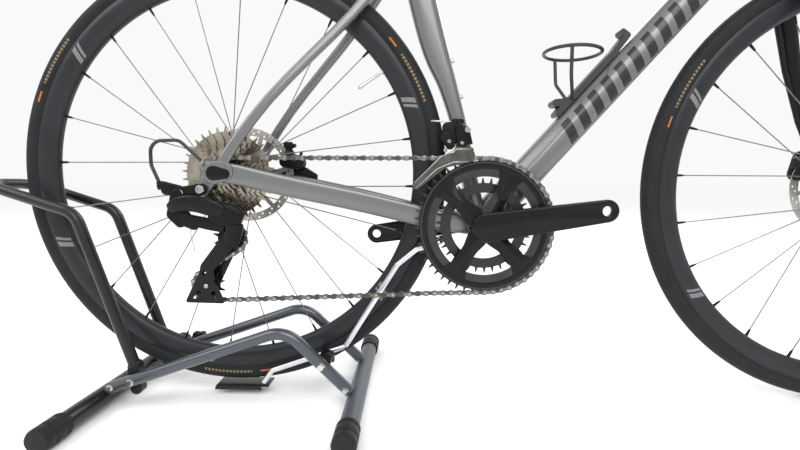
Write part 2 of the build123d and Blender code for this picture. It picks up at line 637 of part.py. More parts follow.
# ---- Fork, cockpit
steer_way = Vector(HEAD_WAY[0], 0, HEAD_WAY[1])
fork = bar(on_head(-10), on_head(HEAD_LEN + 62), STEERER_R)
crown = loft([Plane(origin=on_head(d), x_dir=(0, 1, 0), z_dir=steer_way) * RectangleRounded(w, l, r)
              for d, w, l, r in ((-24, 62, 34, 12), (-10, 58, 42, 15), (-0.6, 52, 48, 22))], ruled=True)
fork += crown
tyre_room = revolve(Pos(tyre_mid + 2, 0) * Rectangle(56, 42), Axis.Y)
for sign in (-1, 1):
    blade = [(842, 24, 318, 36, 17), (866, 34, 262, 34, 14), (892, 44, 190, 30, 13), (926, 53, 110, 25, 12),
             (958, 56, 46, 22, 11), (980, 56, 4, 20, 9.6)]
    fork += tube_of([(x, sign * y, z, long, wide, 4.2, (-0.38, 0, 0.92)) for x, y, z, long, wide in blade])
    low, high = sorted((sign * 50.2, sign * 60.8))
    fork += disc(WHEELBASE, 0, 14, low, high)
fork -= FRONT * tyre_room
fork -= disc(WHEELBASE, 0, AXLE_R + 0.02, -100, 100)
fork -= FRONT * disc(0, 0, 86, ROTOR_Y_FRONT - 4, ROTOR_Y_FRONT + 4)
write("fork", BIKE, fork)

clamp = on_head(HEAD_LEN + 42)
stem_way = Vector(BAR_CLAMP[0] - clamp[0], 0, BAR_CLAMP[1] - clamp[2])
spacer = bar(on_head(HEAD_LEN + 0.6), on_head(HEAD_LEN + 22), 18)
stem = bar(on_head(HEAD_LEN + 22), on_head(HEAD_LEN + 62), 18.5) + spacer
stem += loft([Plane(origin=(clamp[0] + 6, 0, clamp[2]), x_dir=(0, 1, 0), z_dir=stem_way) * RectangleRounded(34, 36, 11),
              Plane(origin=(BAR_CLAMP[0] - 10, 0, BAR_CLAMP[1]), x_dir=(0, 1, 0), z_dir=stem_way)
              * RectangleRounded(40, 36, 12)], ruled=True)
stem += disc(BAR_CLAMP[0], BAR_CLAMP[1], 21, -22, 22)
stem -= bar(on_head(HEAD_LEN - 4), on_head(HEAD_LEN + 70), STEERER_R + 0.02)
stem -= disc(BAR_CLAMP[0], BAR_CLAMP[1], 15.9, -60, 60)
cap_plug = bar(on_head(HEAD_LEN + 62), on_head(HEAD_LEN + 66), 16.5, 14.5)
write("stem", BIKE, stem, cap_plug)

bx, bz = BAR_CLAMP
half_bar = [(bx, BAR_HALF - 4, bz), (bx + BAR_REACH, BAR_HALF, bz + 2),
            (bx + BAR_REACH + 12, BAR_HALF + 2, bz - 88), (bx - 18, BAR_HALF + 5, bz - BAR_DROP - 2)]
bar_line = [(x, -y, z) for x, y, z in half_bar[::-1]] + half_bar
bars = rod(bar_line, BAR_R, bend=30)
bars += disc(bx, bz, 15.88, -30, 30)
write("handlebar", BIKE, bars)
tape_solids = []
tape_way = rod(bar_line, TAPE_R, bend=30, inner=BAR_R + 0.15)
tape_way -= box(bx - 40, bx + 60, -72, 72, bz - 40, bz + 40)
for piece in tape_way.solids():
    tape_solids.append(piece)
write("bar_tape", BIKE, *tape_solids)
bar_keep = rod(bar_line, TAPE_R + 0.1, bend=30)

hx = bx + BAR_REACH
levers = {}
hood_solids = []
for tag, sign in (("right", -1), ("left", 1)):
    y = sign * (BAR_HALF + 1)
    plane_y = Plane(origin=(0, y, 0), x_dir=(1, 0, 0), z_dir=(0, -1, 0))
    outline = [(hx - 4, bz - 12), (hx - 10, bz + 16), (hx + 24, bz + 20), (hx + 50, bz + 42), (hx + 66, bz + 58),
               (hx + 76, bz + 54), (hx + 76, bz + 30), (hx + 66, bz + 10), (hx + 44, bz - 14), (hx + 16, bz - 30)]
    hood_face = make_face(Polyline(*outline, close=True))
    hood = extrude(plane_y * hood_face, amount=15, both=True)
    hood = fillet([e for e in hood.edges() if abs(abs(e.center().Y - y) - 15) < 0.1], 5)
    hood -= bar_keep
    hood -= slab(hull_plate([(hx + 63, bz + 22, 12.5), (hx + 86, bz - 40, 16)]), y - 9, y + 9)
    hood_solids.append(max(hood.solids(), key=lambda s: s.volume))
    pin = disc(hx + 63, bz + 22, 3, y - 9, y + 9)
    hood_solids.append(pin)
    blade_line = [(hx + 63, bz + 22, 9.5), (hx + 74, bz - 4, 8.5), (hx + 77, bz - 42, 7), (hx + 68, bz - 86, 7)]
    blade_solid = slab(hull_plate(blade_line), y - 7.5, y + 7.5) - disc(hx + 63, bz + 22, 3.05, y - 30, y + 30)
    blade_solid = max(blade_solid.solids(), key=lambda s: s.volume)
    write("brake_lever_" + tag, BIKE, blade_solid)
    flick_y = y - sign * 14
    flick = slab(hull_plate([(hx + 66, bz - 20, 5), (hx + 63, bz - 44, 11), (hx + 56, bz - 62, 6)]),
                 flick_y - 2, flick_y + 2)
    knuckle_y = y - sign * 10.2
    flick += bar((hx + 70.2, knuckle_y, bz - 28), (hx + 67.8, knuckle_y, bz - 8), 2.4)
    flick += slab(hull_plate([(hx + 68.5, bz - 14, 4), (hx + 66, bz - 20, 5)]), flick_y - 2, flick_y + 2)
    write("shift_lever_" + tag, BIKE, flick)
write("lever_hoods", BIKE, *hood_solids)

# ---- Saddle
post = bar(seat_point(-98, 0), seat_point(172, 0), POST_R)
head_at = seat_point(174, 0)
post += disc(head_at[0], head_at[2] - 2, 13, -16, 16)
post -= slab(Pos(head_at[0], head_at[2] + 13) * Rectangle(60, 14), -40, 40)
RAIL_Z = head_at[2] + 6 + 3.7
for sign in (-1, 1):
    post -= bar((head_at[0] - 40, sign * 22, RAIL_Z), (head_at[0] + 40, sign * 22, RAIL_Z), 3.6)
post += disc(head_at[0], head_at[2] + 0.5, 3.4, -28, 28)
write("seatpost", BIKE, post)
sx = head_at[0] + 10
rails = []
for sign in (-1, 1):
    points = [(sx - 92, sign * 34, RAIL_Z + 17), (sx - 40, sign * 22, RAIL_Z), (sx + 40, sign * 22, RAIL_Z),
              (sx + 104, sign * 9, RAIL_Z + 15)]
    rails.append(rod(points, 3.5, bend=30))
write("saddle_rails", BIKE, *rails)
saddle_sections = [(-132, 130, 9), (-116, 142, 14), (-80, 136, 15), (-30, 96, 13), (20, 60, 12), (70, 46, 12),
                   (112, 38, 11), (134, 24, 8)]


def saddle_body(bottom, top, shrink):
    faces = []
    for dx, wide, _ in saddle_sections:
        rise = 5 * ((dx - 10) / 130) ** 2
        plane = Plane(origin=(sx + dx, 0, bottom + rise), x_dir=(0, 1, 0), z_dir=(1, 0, 0))
        w = (wide - shrink) / 2
        high = top - bottom
        outline = Polyline((-w, 0), (-w, high * 0.45), (-w * 0.8, high * 0.8), (-w * 0.4, high * 0.97), (0, high),
                           (w * 0.4, high * 0.97), (w * 0.8, high * 0.8), (w, high * 0.45), (w, 0), close=True)
        faces.append(plane * make_face(outline))
    return loft(faces, ruled=True)


shell_z = SADDLE_TOP - 27
write("saddle_padding", BIKE, saddle_body(shell_z + 4, SADDLE_TOP - 4, 0))
shell = saddle_body(shell_z, shell_z + 4, 6)
shell_flat = []
for dx, wide, _ in saddle_sections:
    rise = 5 * ((dx - 10) / 130) ** 2
    plane = Plane(origin=(sx + dx, 0, shell_z + rise), x_dir=(0, 1, 0), z_dir=(1, 0, 0))
    shell_flat.append(plane * (Pos(0, 2) * Rectangle(wide - 8, 4)))
shell = loft(shell_flat, ruled=True)
rear_lug = box(sx - 106, sx - 88, -40, 40, RAIL_Z + 10, shell_z + 6)
nose_lug = box(sx + 98, sx + 112, -15, 15, RAIL_Z + 9, shell_z + 3)
for rail in rails:
    rear_lug -= rail
    nose_lug -= rail
shell = shell + rear_lug + nose_lug
shell -= saddle_body(shell_z + 4, SADDLE_TOP - 4, 0)
for rail in rails:
    shell -= rail
write("saddle_shell", BIKE, shell)

# ---- Derailleurs, calipers, cage
fd = box(329, 362, -47, -22, 44, 88) - seat_tube
fd += slab(hull_plate([(336, 52, 7), (352, 48, 8)]), -52, -38)
clamp_band = box(340, 376, -22, -6, 52, 78) - seat_tube
fd += clamp_band
fd = max(fd.solids(), key=lambda s: s.volume)
write("front_derailleur", BIKE, fd)
cage_plate = hull_plate([(291, -12, 5), (330, 24, 9), (366, 34, 10)])
fd_cage = slab(cage_plate, -53.0, -51.2) + slab(cage_plate, -39.2, -37.6)
fd_cage += slab(hull_plate([(350, 42, 4), (370, 42, 4)]), -53.0, -37.6)
fd_cage += slab(Pos(289, -12) * Rectangle(4, 9), -53.0, -37.6)
fd_cage -= CRANK * disc(0, 0, pitch_r(INNER_TEETH) + 5, INNER_RING_Y - 3, -30)
fd_cage -= CRANK * slab(Circle(pitch_r(OUTER_TEETH) + 4.6), RING_Y - 5.8, RING_Y + 5.8)
fd_cage -= fd
write("front_derailleur_cage", BIKE, max(fd_cage.solids(), key=lambda s: s.volume))

rd = slab(hull_plate([(-17, -24, 9), (-46, -30, 10)]), -86, -77.8)
rd += slab(hull_plate([(-46, -30, 9), (-72, -18, 6)]), -83, -74)
rd += slab(hull_plate([(-46, -32, 9), (-52, -66, 12), (-30, -62, 10)]), -90, -78)
rd += slab(hull_plate([(-44, -44, 9), (4, -52, 11)]), -94, -84)
rd += slab(hull_plate([(-30, -66, 8), (14, -76, 10)]), -90, -80)
rd += slab(hull_plate([(8, -56, 16), (28, -66, 17), (26, -84, 14)]), -92, -74.2)
write("rear_derailleur", BIKE, rd)
outer_cage = hull_plate([(GUIDE_X + 6, GUIDE_Z + 4, 12), (TENSION_X + 2, TENSION_Z + 28, 10), (TENSION_X, TENSION_Z, 13)])
tail = [(TENSION_X - 27, TENSION_Z - 22, 3), (TENSION_X + 24, TENSION_Z - 22, 3)]
outer_cage += hull_plate([(TENSION_X - 4, TENSION_Z + 14, 8), tail[0]]) + hull_plate(tail)
outer_cage += hull_plate([tail[1], (TENSION_X + 8, TENSION_Z, 8)]) + Pos(TENSION_X, TENSION_Z - 10) * Circle(13)
outer_cage -= Pos(TENSION_X - 11, TENSION_Z - 10) * Circle(3.2)
outer_cage -= Pos(TENSION_X + 11, TENSION_Z - 10) * Circle(3.2)
outer_cage -= Pos(TENSION_X - 2, TENSION_Z + 20) * Circle(3.4)
inner_cage = hull_plate([(GUIDE_X, GUIDE_Z, 13), (TENSION_X, TENSION_Z, 13)])
cage = slab(outer_cage, -73.8, -71.2)
inner_plate = slab(inner_cage, -59.4, -57.2)
for x, z in ((GUIDE_X, GUIDE_Z), (TENSION_X, TENSION_Z)):
    cage += disc(x, z, 2.6, -71.2, -57.2)
cage += inner_plate
write("derailleur_cage", BIKE, cage)
for tag, wheel in (("guide_pulley", WHEELS[2]), ("tension_pulley", WHEELS[3])):
    pulley = toothed(PULLEY_TEETH, 1.8, phase(wheel), COG_Y, 2.6 + RUN)
    pulley += slab(Circle(8) - Circle(2.6 + RUN), COG_Y - 2.6, COG_Y + 2.6)
    write(tag, BIKE, Pos(wheel[0], 0, wheel[1]) * pulley)
housing = [(-19.5, -75, 18), (-50, -76, 46), (-92, -76.5, 44), (-91, -77, 10), (-78.5, -78.5, -16.5)]
housing_path = FilletPolyline(*housing, radius=17)
housing_rod = rod(housing, 2.5, bend=17) - rd - stays[0]
write("shift_cable_housing", BIKE, max(housing_rod.solids(), key=lambda s: s.volume))
print("housing length", round(housing_path.length, 1), "volume over section", round(housing_rod.volume / (pi * 6.25), 1))

rear_caliper = slab(hull_plate([(66, 26, 14), (92, 14, 14)]), 44, 68)
rear_caliper += box(56, 122, 50, 68, 1, 16)
rear_caliper -= slab(Circle(ROTOR_R + 3) , ROTOR_Y_REAR - 2.2, ROTOR_Y_REAR + 2.2)
rear_caliper -= stays[1]
rear_caliper = max(rear_caliper.solids(), key=lambda s: s.volume)
write("rear_brake_caliper", BIKE, rear_caliper)
front_caliper = slab(hull_plate([(-66, 20, 13), (-60, 48, 13)]), 28, 52)
front_caliper -= slab(Circle(ROTOR_R + 3), ROTOR_Y_FRONT - 2.2, ROTOR_Y_FRONT + 2.2)
front_caliper = (FRONT * front_caliper) - fork
write("front_brake_caliper", BIKE, max(front_caliper.solids(), key=lambda s: s.volume))

RING_AT = (526.0, 196.0)
wire = 2.6
ring = Pos(RING_AT[0], 0, RING_AT[1]) * Torus(42, wire)
cage_solid = ring
for sign in (-1, 1):
    strut = [(RING_AT[0] - 14, sign * 39.5, RING_AT[1]), (RING_AT[0] - 12, sign * 36, RING_AT[1] - 40),
             (527, sign * 10, 124)]
    cage_solid += rod(strut, wire, bend=16)


def on_down(d, off):
    """d along the down tube's axis from its foot, off above the axis."""
    at = Vector(*dt_low) + dt_way * d
    return (at.X - dt_way.Z * off, at.Z + dt_way.X * off)


rail_line = [on_down(d, 28.3) for d in (188, 312)]
cage_solid += slab(hull_plate([(x, z, 4.6) for x, z in rail_line]), -11, 11)
foot = [(502, 119, 5.5), (520, 121, 5.5), rail_line[0] + (4.6,)]
cage_solid += slab(hull_plate(foot), -12, 12)
top_hook = [rail_line[1] + (4.6,), (604, 221, 4.6), (597, 226, 4.4)]
cage_solid += slab(hull_plate(top_hook), -9, 9)
cage_solid -= down_tube
write("bottle_cage", BIKE, max(cage_solid.solids(), key=lambda s: s.volume))
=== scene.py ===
"""Road bicycle held by its rear wheel in a floor stand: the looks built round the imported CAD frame."""

import math

import bmesh
import bpy
from bpy.props import FloatProperty, FloatVectorProperty, IntProperty, PointerProperty
from mathutils import Matrix, Vector


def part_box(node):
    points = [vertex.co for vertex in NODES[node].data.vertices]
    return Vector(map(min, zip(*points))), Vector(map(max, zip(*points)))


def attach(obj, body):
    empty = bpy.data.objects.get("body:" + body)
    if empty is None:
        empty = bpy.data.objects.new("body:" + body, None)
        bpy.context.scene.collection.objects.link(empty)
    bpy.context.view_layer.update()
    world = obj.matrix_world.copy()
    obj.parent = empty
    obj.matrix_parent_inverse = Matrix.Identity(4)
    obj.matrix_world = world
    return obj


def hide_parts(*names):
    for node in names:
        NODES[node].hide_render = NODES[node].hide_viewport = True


bl_info = {
    "name": "Bicycle On Stand",
    "version": (1, 0, 0),
    "blender": (4, 5, 0),
    "location": "View3D > Sidebar > Bicycle",
    "description": "Builds the finished look of a road bicycle in a rear wheel stand",
    "category": "Object",
}

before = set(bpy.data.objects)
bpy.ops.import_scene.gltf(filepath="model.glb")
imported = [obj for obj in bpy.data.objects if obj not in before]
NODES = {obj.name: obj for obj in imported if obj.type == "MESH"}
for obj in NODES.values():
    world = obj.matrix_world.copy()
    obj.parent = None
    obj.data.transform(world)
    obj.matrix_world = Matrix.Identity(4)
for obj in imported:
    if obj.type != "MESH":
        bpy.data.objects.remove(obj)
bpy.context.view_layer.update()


def middle(node):
    low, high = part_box(node)
    return (low + high) / 2


REAR_HUB_AT = middle("rear_rotor")
FRONT_HUB_AT = middle("front_rotor")
WHEELBASE = math.hypot(FRONT_HUB_AT.x - REAR_HUB_AT.x, FRONT_HUB_AT.z - REAR_HUB_AT.z) * 1000
PITCH = math.atan2(REAR_HUB_AT.z - FRONT_HUB_AT.z, FRONT_HUB_AT.x - REAR_HUB_AT.x)
MM = Matrix.Scale(0.001, 4)
# Millimetres about the rear axle, x along the wheelbase, to the frame's metres.
BIKE = Matrix.Translation((REAR_HUB_AT.x, 0, REAR_HUB_AT.z)) @ Matrix.Rotation(PITCH, 4, "Y") @ MM
# Millimetres about the floor point under the rear axle, level, to the frame's metres.
STAND = Matrix.Translation((REAR_HUB_AT.x, 0, 0)) @ MM
BB = (395.0, -70.0)
HEAD_LOW = (832.0, 345.0)
HEAD_WAY = (-math.cos(math.radians(73)), math.sin(math.radians(73)))
SEAT_TOP = (257.0, 411.0)
SEAT_WAY = (-math.cos(math.radians(74.1)), math.sin(math.radians(74.1)))
CRANK_WAY = math.radians(9.43)
VALVE = 34.9
SPIDER = (65, 138, 239, 315)
CRANK_LONG = 172.5
PEDAL_EYE_R = 7.15
CHAIN_HALF_PITCH = 6.35
TYRE_MID, TYRE_HALF = 325, 14
HUB_AXLE_R = 6.1
# Millimetres about the hood's root on the bar, to the frame's metres.
HOOD = BIKE @ Matrix.Translation((953, 0, 530))
HOOD_Y = 211
BAR_TOP = (878, 530)
# Bars of paint along the down tube: first, last and spacing of their starts, and their width, in mm.
PAINT_BARS = (170, 430, 28)
PAINT_BAR_WIDE = 16
PAINT_BAND = (-17, 15)


# ---- shader maths
class Signal:
    """A node socket that Python's operators work on."""

    def __init__(self, tree, socket):
        self.tree = tree
        self.socket = socket

    def node(self, kind, settings=None, inputs=None, out=0):
        """Adds a node: its settings first, then socket values or links; returns one of its outputs."""
        made = self.tree.nodes.new(kind)
        for key, value in (settings or {}).items():
            setattr(made, key, value)
        for key, value in (inputs or {}).items():
            if isinstance(value, Signal):
                self.tree.links.new(value.socket, made.inputs[key])
            elif value is not None:
                made.inputs[key].default_value = value
        return Signal(self.tree, made.outputs[out])

    def math(self, operation, *others):
        """A maths node whose first input is this value."""
        return self.node("ShaderNodeMath", {"operation": operation}, dict(enumerate((self, *others))))

    def __add__(self, other):
        return self.math("ADD", other)

    def __sub__(self, other):
        return self.math("SUBTRACT", other)

    def __rsub__(self, other):
        return self * -1 + other

    def __mul__(self, other):
        return self.math("MULTIPLY", other)

    def __gt__(self, other):
        return self.math("GREATER_THAN", other)

    def __lt__(self, other):
        return self.math("LESS_THAN", other)

    __radd__ = __add__
    __rmul__ = __mul__

    def between(self, low, high):
        return (self > low) * (self < high)

    def mix(self, first, second):
        """A colour between first and second, by this value."""
        inputs = {"Factor": self}
        for slot, colour in ((6, first), (7, second)):
            inputs[slot] = colour if isinstance(colour, Signal) else (*colour, 1.0)
        return self.node("ShaderNodeMix", {"data_type": "RGBA"}, inputs, out=2)


class Finish:
    """A material being made: its tree, its shader and the usual textures."""

    def __init__(self, name, roughness=0.5, metallic=0.0, coat=0.0, coat_roughness=0.05, specular=0.5):
        self.material = bpy.data.materials.new(name)
        self.material.use_nodes = True
        self.tree = self.material.node_tree
        self.shader = self.tree.nodes["Principled BSDF"]
        self.set("Roughness", roughness)
        self.set("Metallic", metallic)
        self.set("Coat Weight", coat)
        self.set("Coat Roughness", coat_roughness)
        self.set("Specular IOR Level", specular)
        start = Signal(self.tree, None)
        self.place = start.node("ShaderNodeTexCoord", out=3)
        self.x, self.y, self.z = (self.place.node("ShaderNodeSeparateXYZ", None, {0: self.place}, k) for k in range(3))

    def set(self, socket, value):
        if isinstance(value, Signal):
            self.tree.links.new(value.socket, self.shader.inputs[socket])
        else:
            self.shader.inputs[socket].default_value = value

    def scaled(self, stretch):
        return self.place.node("ShaderNodeMapping", None, {"Vector": self.place, "Scale": stretch})

    def noise(self, scale, detail=3.0, stretch=(1, 1, 1)):
        inputs = {"Vector": self.scaled(stretch), "Scale": scale, "Detail": detail}
        return self.place.node("ShaderNodeTexNoise", None, inputs)

    def cells(self, scale, stretch=(1, 1, 1)):
        return self.place.node("ShaderNodeTexVoronoi", None, {"Vector": self.scaled(stretch), "Scale": scale})

    def bump(self, height, strength, depth):
        made = self.place.node("ShaderNodeBump", None, {"Strength": strength, "Distance": depth, "Height": height})
        self.set("Normal", made)

    def polar(self, centre):
        """Radius in mm and angle in degrees about a wheel's axle."""
        dx, dz = self.x - centre.x, self.z - centre.z
        return (dx * dx + dz * dz).math("SQRT") * 1000, dz.math("ARCTAN2", dx) * (180 / math.pi)


def speckled(name, colour, other, scale, roughness=0.4, spread=0.12, bump=0.0, depth=0.0002, stretch=(1, 1, 1),
             **shader):
    """A finish whose colour and roughness drift between two values with noise, with fine grain as bump."""
    finish = Finish(name, roughness, **shader)
    drift = finish.noise(scale, 4.0, stretch)
    finish.set("Base Color", drift.mix(colour, other))
    finish.set("Roughness", drift * spread + (roughness - spread / 2))
    if bump:
        finish.bump(finish.noise(scale * 14, 2.0, stretch), bump, depth)
    return finish


def ringed(name, colour, other, centre, roughness=0.3, metallic=1.0):
    """Turned or brushed metal with fine rings about an axle."""
    finish = Finish(name, roughness, metallic)
    lines = (finish.polar(centre)[0] * 9).math("SINE") * 0.5 + 0.5
    drift = finish.noise(38, 4.0)
    finish.set("Base Color", (drift * 0.7 + lines * 0.3).mix(colour, other))
    finish.set("Roughness", drift * 0.2 + (roughness - 0.1))
    finish.bump(lines + drift, 0.15, 0.0002)
    return finish


def painted_tube(name, colour, marked):
    """Silver-grey lacquer over fine flake; the down tube also carries plain black slanted bars."""
    finish = Finish(name, 0.34, metallic=0.6, coat=0.45, coat_roughness=0.06, specular=0.35)
    flake = finish.cells(1500)
    cloud = finish.noise(6, 2.0)
    base = (flake * 0.14 + cloud * 0.5).mix(tuple(c * 0.82 for c in colour), tuple(min(c * 1.18, 1) for c in colour))
    if marked:
        low = BIKE @ Vector((405, 0, -58))
        way = (BIKE @ Vector((797, 0, 397)) - low).normalized()
        along = ((finish.x - low.x) * way.x + (finish.z - low.z) * way.z) * 1000
        across = ((finish.z - low.z) * way.x - (finish.x - low.x) * way.z) * 1000
        slant = along - across * 0.35
        bars = sum(slant.between(start, start + PAINT_BAR_WIDE) for start in range(*PAINT_BARS))
        ink = bars * across.between(*PAINT_BAND) * (finish.y.math("ABSOLUTE") > 0.012)
        base = ink.mix(base, (0.004, 0.004, 0.005))
        finish.set("Metallic", (1 - ink) * 0.6)
    finish.set("Base Color", base)
    finish.set("Roughness", cloud * 0.08 + 0.28)
    finish.bump(flake, 0.012, 0.00005)
    return finish


def tyre_finish(name, centre, label_at):
    """Black rubber with moulding lines, fine tread, a row of tan dashes and a small orange tab."""
    finish = Finish(name, 0.62, specular=0.16)
    radius, angle = finish.polar(centre)
    dust = finish.noise(30, 5.0)
    grain = finish.noise(900, 2.0)
    turn = (angle + (540 - label_at)).math("MODULO", 120) - 60
    dash = (turn * 0.95 + 40).math("FRACT") > 0.35
    stamp = dash * turn.between(-8, 6) * radius.between(321.8, 325.6)
    tab = turn.between(8.5, 11.5) * radius.between(322.4, 325.0)
    rubber = dust.mix((0.009, 0.0095, 0.011), (0.021, 0.022, 0.024))
    marked = stamp.mix(rubber, (0.20, 0.15, 0.08))
    finish.set("Base Color", tab.mix(marked, (0.45, 0.12, 0.02)))
    finish.set("Roughness", dust * 0.15 + 0.52)
    file_tread = (angle * 4 + radius * 1.6).math("SINE") * (radius > 333.5) * 0.5
    rib = radius.between(328.4, 329.0) + radius.between(319.0, 319.7)
    finish.bump(grain * 0.25 + rib + file_tread, 0.5, 0.0006)
    return finish


def rim_finish(name, centre, turn_by):
    """Satin black rim with pairs of pale slanted stripes."""
    finish = Finish(name, 0.34, specular=0.22, coat=0.1, coat_roughness=0.2)
    radius, angle = finish.polar(centre)
    drift = finish.noise(22, 4.0)
    turn = (angle + radius * 0.09 + (turn_by + 720)).math("MODULO", 60)
    stripe = (turn.between(4, 4.9) + turn.between(5.5, 7.0)) * radius.between(291, 311)
    base = drift.mix((0.01, 0.0108, 0.0125), (0.02, 0.0215, 0.025))
    finish.set("Base Color", stripe.mix(base, (0.16, 0.165, 0.17)))
    finish.set("Roughness", drift * 0.14 + 0.3)
    finish.bump(finish.noise(420, 2.0), 0.08, 0.0002)
    return finish


def tape_finish(name):
    finish = Finish(name, 0.6, specular=0.4)
    grain = finish.cells(700)
    wear = finish.noise(18, 3.0)
    finish.set("Base Color", wear.mix((0.012, 0.012, 0.012), (0.03, 0.03, 0.03)))
    finish.set("Roughness", wear * 0.2 + 0.48)
    finish.bump(grain, 0.45, 0.0005)
    return finish


# ---- mesh makers
def finish_mesh(name, bm, finish, replaces=(), subdivide=0, crease=None, body="bike", place=BIKE):
    """Turns a bmesh in millimetres into a piece that rides on a CAD body, and empties it for the next one."""
    mesh = bpy.data.meshes.new(name)
    bmesh.ops.recalc_face_normals(bm, faces=bm.faces)
    bm.to_mesh(mesh)
    bm.clear()
    mesh.transform(place)
    for polygon in mesh.polygons:
        polygon.use_smooth = True
    if crease is not None:
        mesh.set_sharp_from_angle(angle=math.radians(crease))
    piece = bpy.data.objects.new(name, mesh)
    bpy.context.scene.collection.objects.link(piece)
    mesh.materials.append(finish.material)
    if subdivide:
        levels = piece.modifiers.new("smooth", "SUBSURF")
        levels.levels = levels.render_levels = subdivide
    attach(piece, body)
    if replaces:
        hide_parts(*replaces)
    return piece


def add_rings(bm, rings):
    """Skins a list of equal rings of points and closes both ends."""
    rows = [[bm.verts.new(point) for point in ring] for ring in rings]
    count = len(rows[0])
    for row, following in zip(rows, rows[1:]):
        for k in range(count):
            bm.faces.new((row[k], row[(k + 1) % count], following[(k + 1) % count], following[k]))
    bm.faces.new(rows[0][::-1])
    bm.faces.new(rows[-1])


def oval(wide, tall, power=2.4, count=20):
    """Points (across, up) round a superellipse."""
    points = []
    for k in range(count):
        a = 2 * math.pi * k / count
        c, s = math.cos(a), math.sin(a)
        points.append((math.copysign(abs(c) ** (2 / power), c) * wide / 2,
                       math.copysign(abs(s) ** (2 / power), s) * tall / 2))
    return points


def faceted(wide, thick):
    """The down tube's many-sided section with its corners softened."""
    half = wide / 2
    corners = [(half, -thick * 0.18), (half * 0.86, -thick * 0.42), (half * 0.5, -thick / 2), (-half * 0.5, -thick / 2),
               (-half * 0.86, -thick * 0.42), (-half, -thick * 0.18), (-half * 0.98, thick * 0.16),
               (-half * 0.5, thick / 2), (half * 0.5, thick / 2), (half * 0.98, thick * 0.16)]
    points = []
    for k, here in enumerate(corners):
        before, after = Vector(corners[k - 1]), Vector(corners[(k + 1) % len(corners)])
        here = Vector(here)
        points.append(tuple(here + (before - here).normalized() * 2.0))
        points.append(tuple(here + (after - here).normalized() * 2.0))
    return points


def section_rings(stations, ring):
    """Rings across a path of (x, y, z, wide, tall) stations; ring gives (across, up) points."""
    rings = []
    last = len(stations) - 1
    for k, (x, y, z, wide, tall) in enumerate(stations):
        a, b = stations[max(k - 1, 0)], stations[min(k + 1, last)]
        way = Vector((b[0] - a[0], b[1] - a[1], b[2] - a[2])).normalized()
        across = Vector((0, 1, 0)) - way * way.y
        across.normalize()
        up = way.cross(across).normalized()
        rings.append([Vector((x, y, z)) + across * u + up * v for u, v in ring(wide, tall)])
    return rings


def held(rings, by=0.6):
    """Adds a ring just inside each end so that subdivision keeps the end crisp."""
    def inset(first, second):
        gap = max((first[0] - second[0]).length, 1e-6)
        return [p.lerp(q, min(by / gap, 0.4)) for p, q in zip(first, second)]
    return [rings[0], inset(rings[0], rings[1]), *rings[1:-1], inset(rings[-1], rings[-2]), rings[-1]]


def lofted(bm, stations, power=2.4, count=20, ring=None):
    """A tube through stations, superelliptic unless ring gives another section."""
    ring = ring or (lambda wide, tall: oval(wide, tall, power, count))
    add_rings(bm, held(section_rings(stations, ring)))


def turned(bm, profile, centre=(0, 0), steps=96):
    """A closed profile of (radius, y) turned about the axle at centre."""
    rows = []
    for k in range(steps):
        a = 2 * math.pi * k / steps
        rows.append([bm.verts.new((centre[0] + r * math.cos(a), y, centre[1] + r * math.sin(a))) for r, y in profile])
    for row, following in zip(rows, rows[1:] + rows[:1]):
        for j in range(len(profile)):
            after = (j + 1) % len(profile)
            bm.faces.new((row[j], row[after], following[after], following[j]))


def shaft(bm, a, b, radii, sides=10):
    """A round rod from a to b; radii is one radius or a list of (share, radius)."""
    if not isinstance(radii, list):
        radii = [(0, radii), (1, radii)]
    a, b = Vector(a), Vector(b)
    way = (b - a).normalized()
    side = way.orthogonal().normalized()
    other = way.cross(side)
    rings = []
    for share, r in radii:
        at = a.lerp(b, share)
        rings.append([at + (side * math.cos(2 * math.pi * k / sides) + other * math.sin(2 * math.pi * k / sides)) * r
                      for k in range(sides)])
    add_rings(bm, rings)


def rounded_path(points, radius, step):
    """Corners of a bent tube's path replaced by arcs of short steps."""
    points = [Vector(p) for p in points]
    path = [points[0]]
    for before, here, after in zip(points, points[1:], points[2:]):
        u, v = (before - here).normalized(), (after - here).normalized()
        half = u.angle(v) / 2
        reach = radius / math.tan(half)
        centre = here + (u + v).normalized() * (radius / math.sin(half))
        first, last = here + u * reach - centre, here + v * reach - centre
        total = first.angle(last)
        count = max(int(total * radius / step), 4)
        axis = first.cross(last).normalized()
        path += [centre + Matrix.Rotation(total * k / count, 3, axis) @ first for k in range(count + 1)]
    return path + [points[-1]]


def swept(bm, path, radius_at, sides=20, step=None):
    """A tube along a path; radius_at(distance, angle) gives its radius."""
    if step:
        dense = [path[0]]
        for a, b in zip(path, path[1:]):
            count = max(int((b - a).length / step), 1)
            dense += [a.lerp(b, (k + 1) / count) for k in range(count)]
        path = dense
    side = (path[1] - path[0]).orthogonal().normalized()
    rings, travelled = [], 0.0
    for k, at in enumerate(path):
        way = (path[min(k + 1, len(path) - 1)] - path[max(k - 1, 0)]).normalized()
        side = (side - way * side.dot(way)).normalized()
        other = way.cross(side)
        if k:
            travelled += (at - path[k - 1]).length
        ring = []
        for j in range(sides):
            a = 2 * math.pi * j / sides
            r = radius_at(travelled, a / (2 * math.pi))
            ring.append(at + (side * math.cos(a) + other * math.sin(a)) * r)
        rings.append(ring)
    add_rings(bm, rings)


def circle(x, z, r, steps=24):
    return [(x + r * math.cos(2 * math.pi * k / steps),
             z + r * math.sin(2 * math.pi * k / steps)) for k in range(steps)]


def ring_at(x, y, z, r, steps=24):
    return [Vector((u, y, v)) for u, v in circle(x, z, r, steps)]


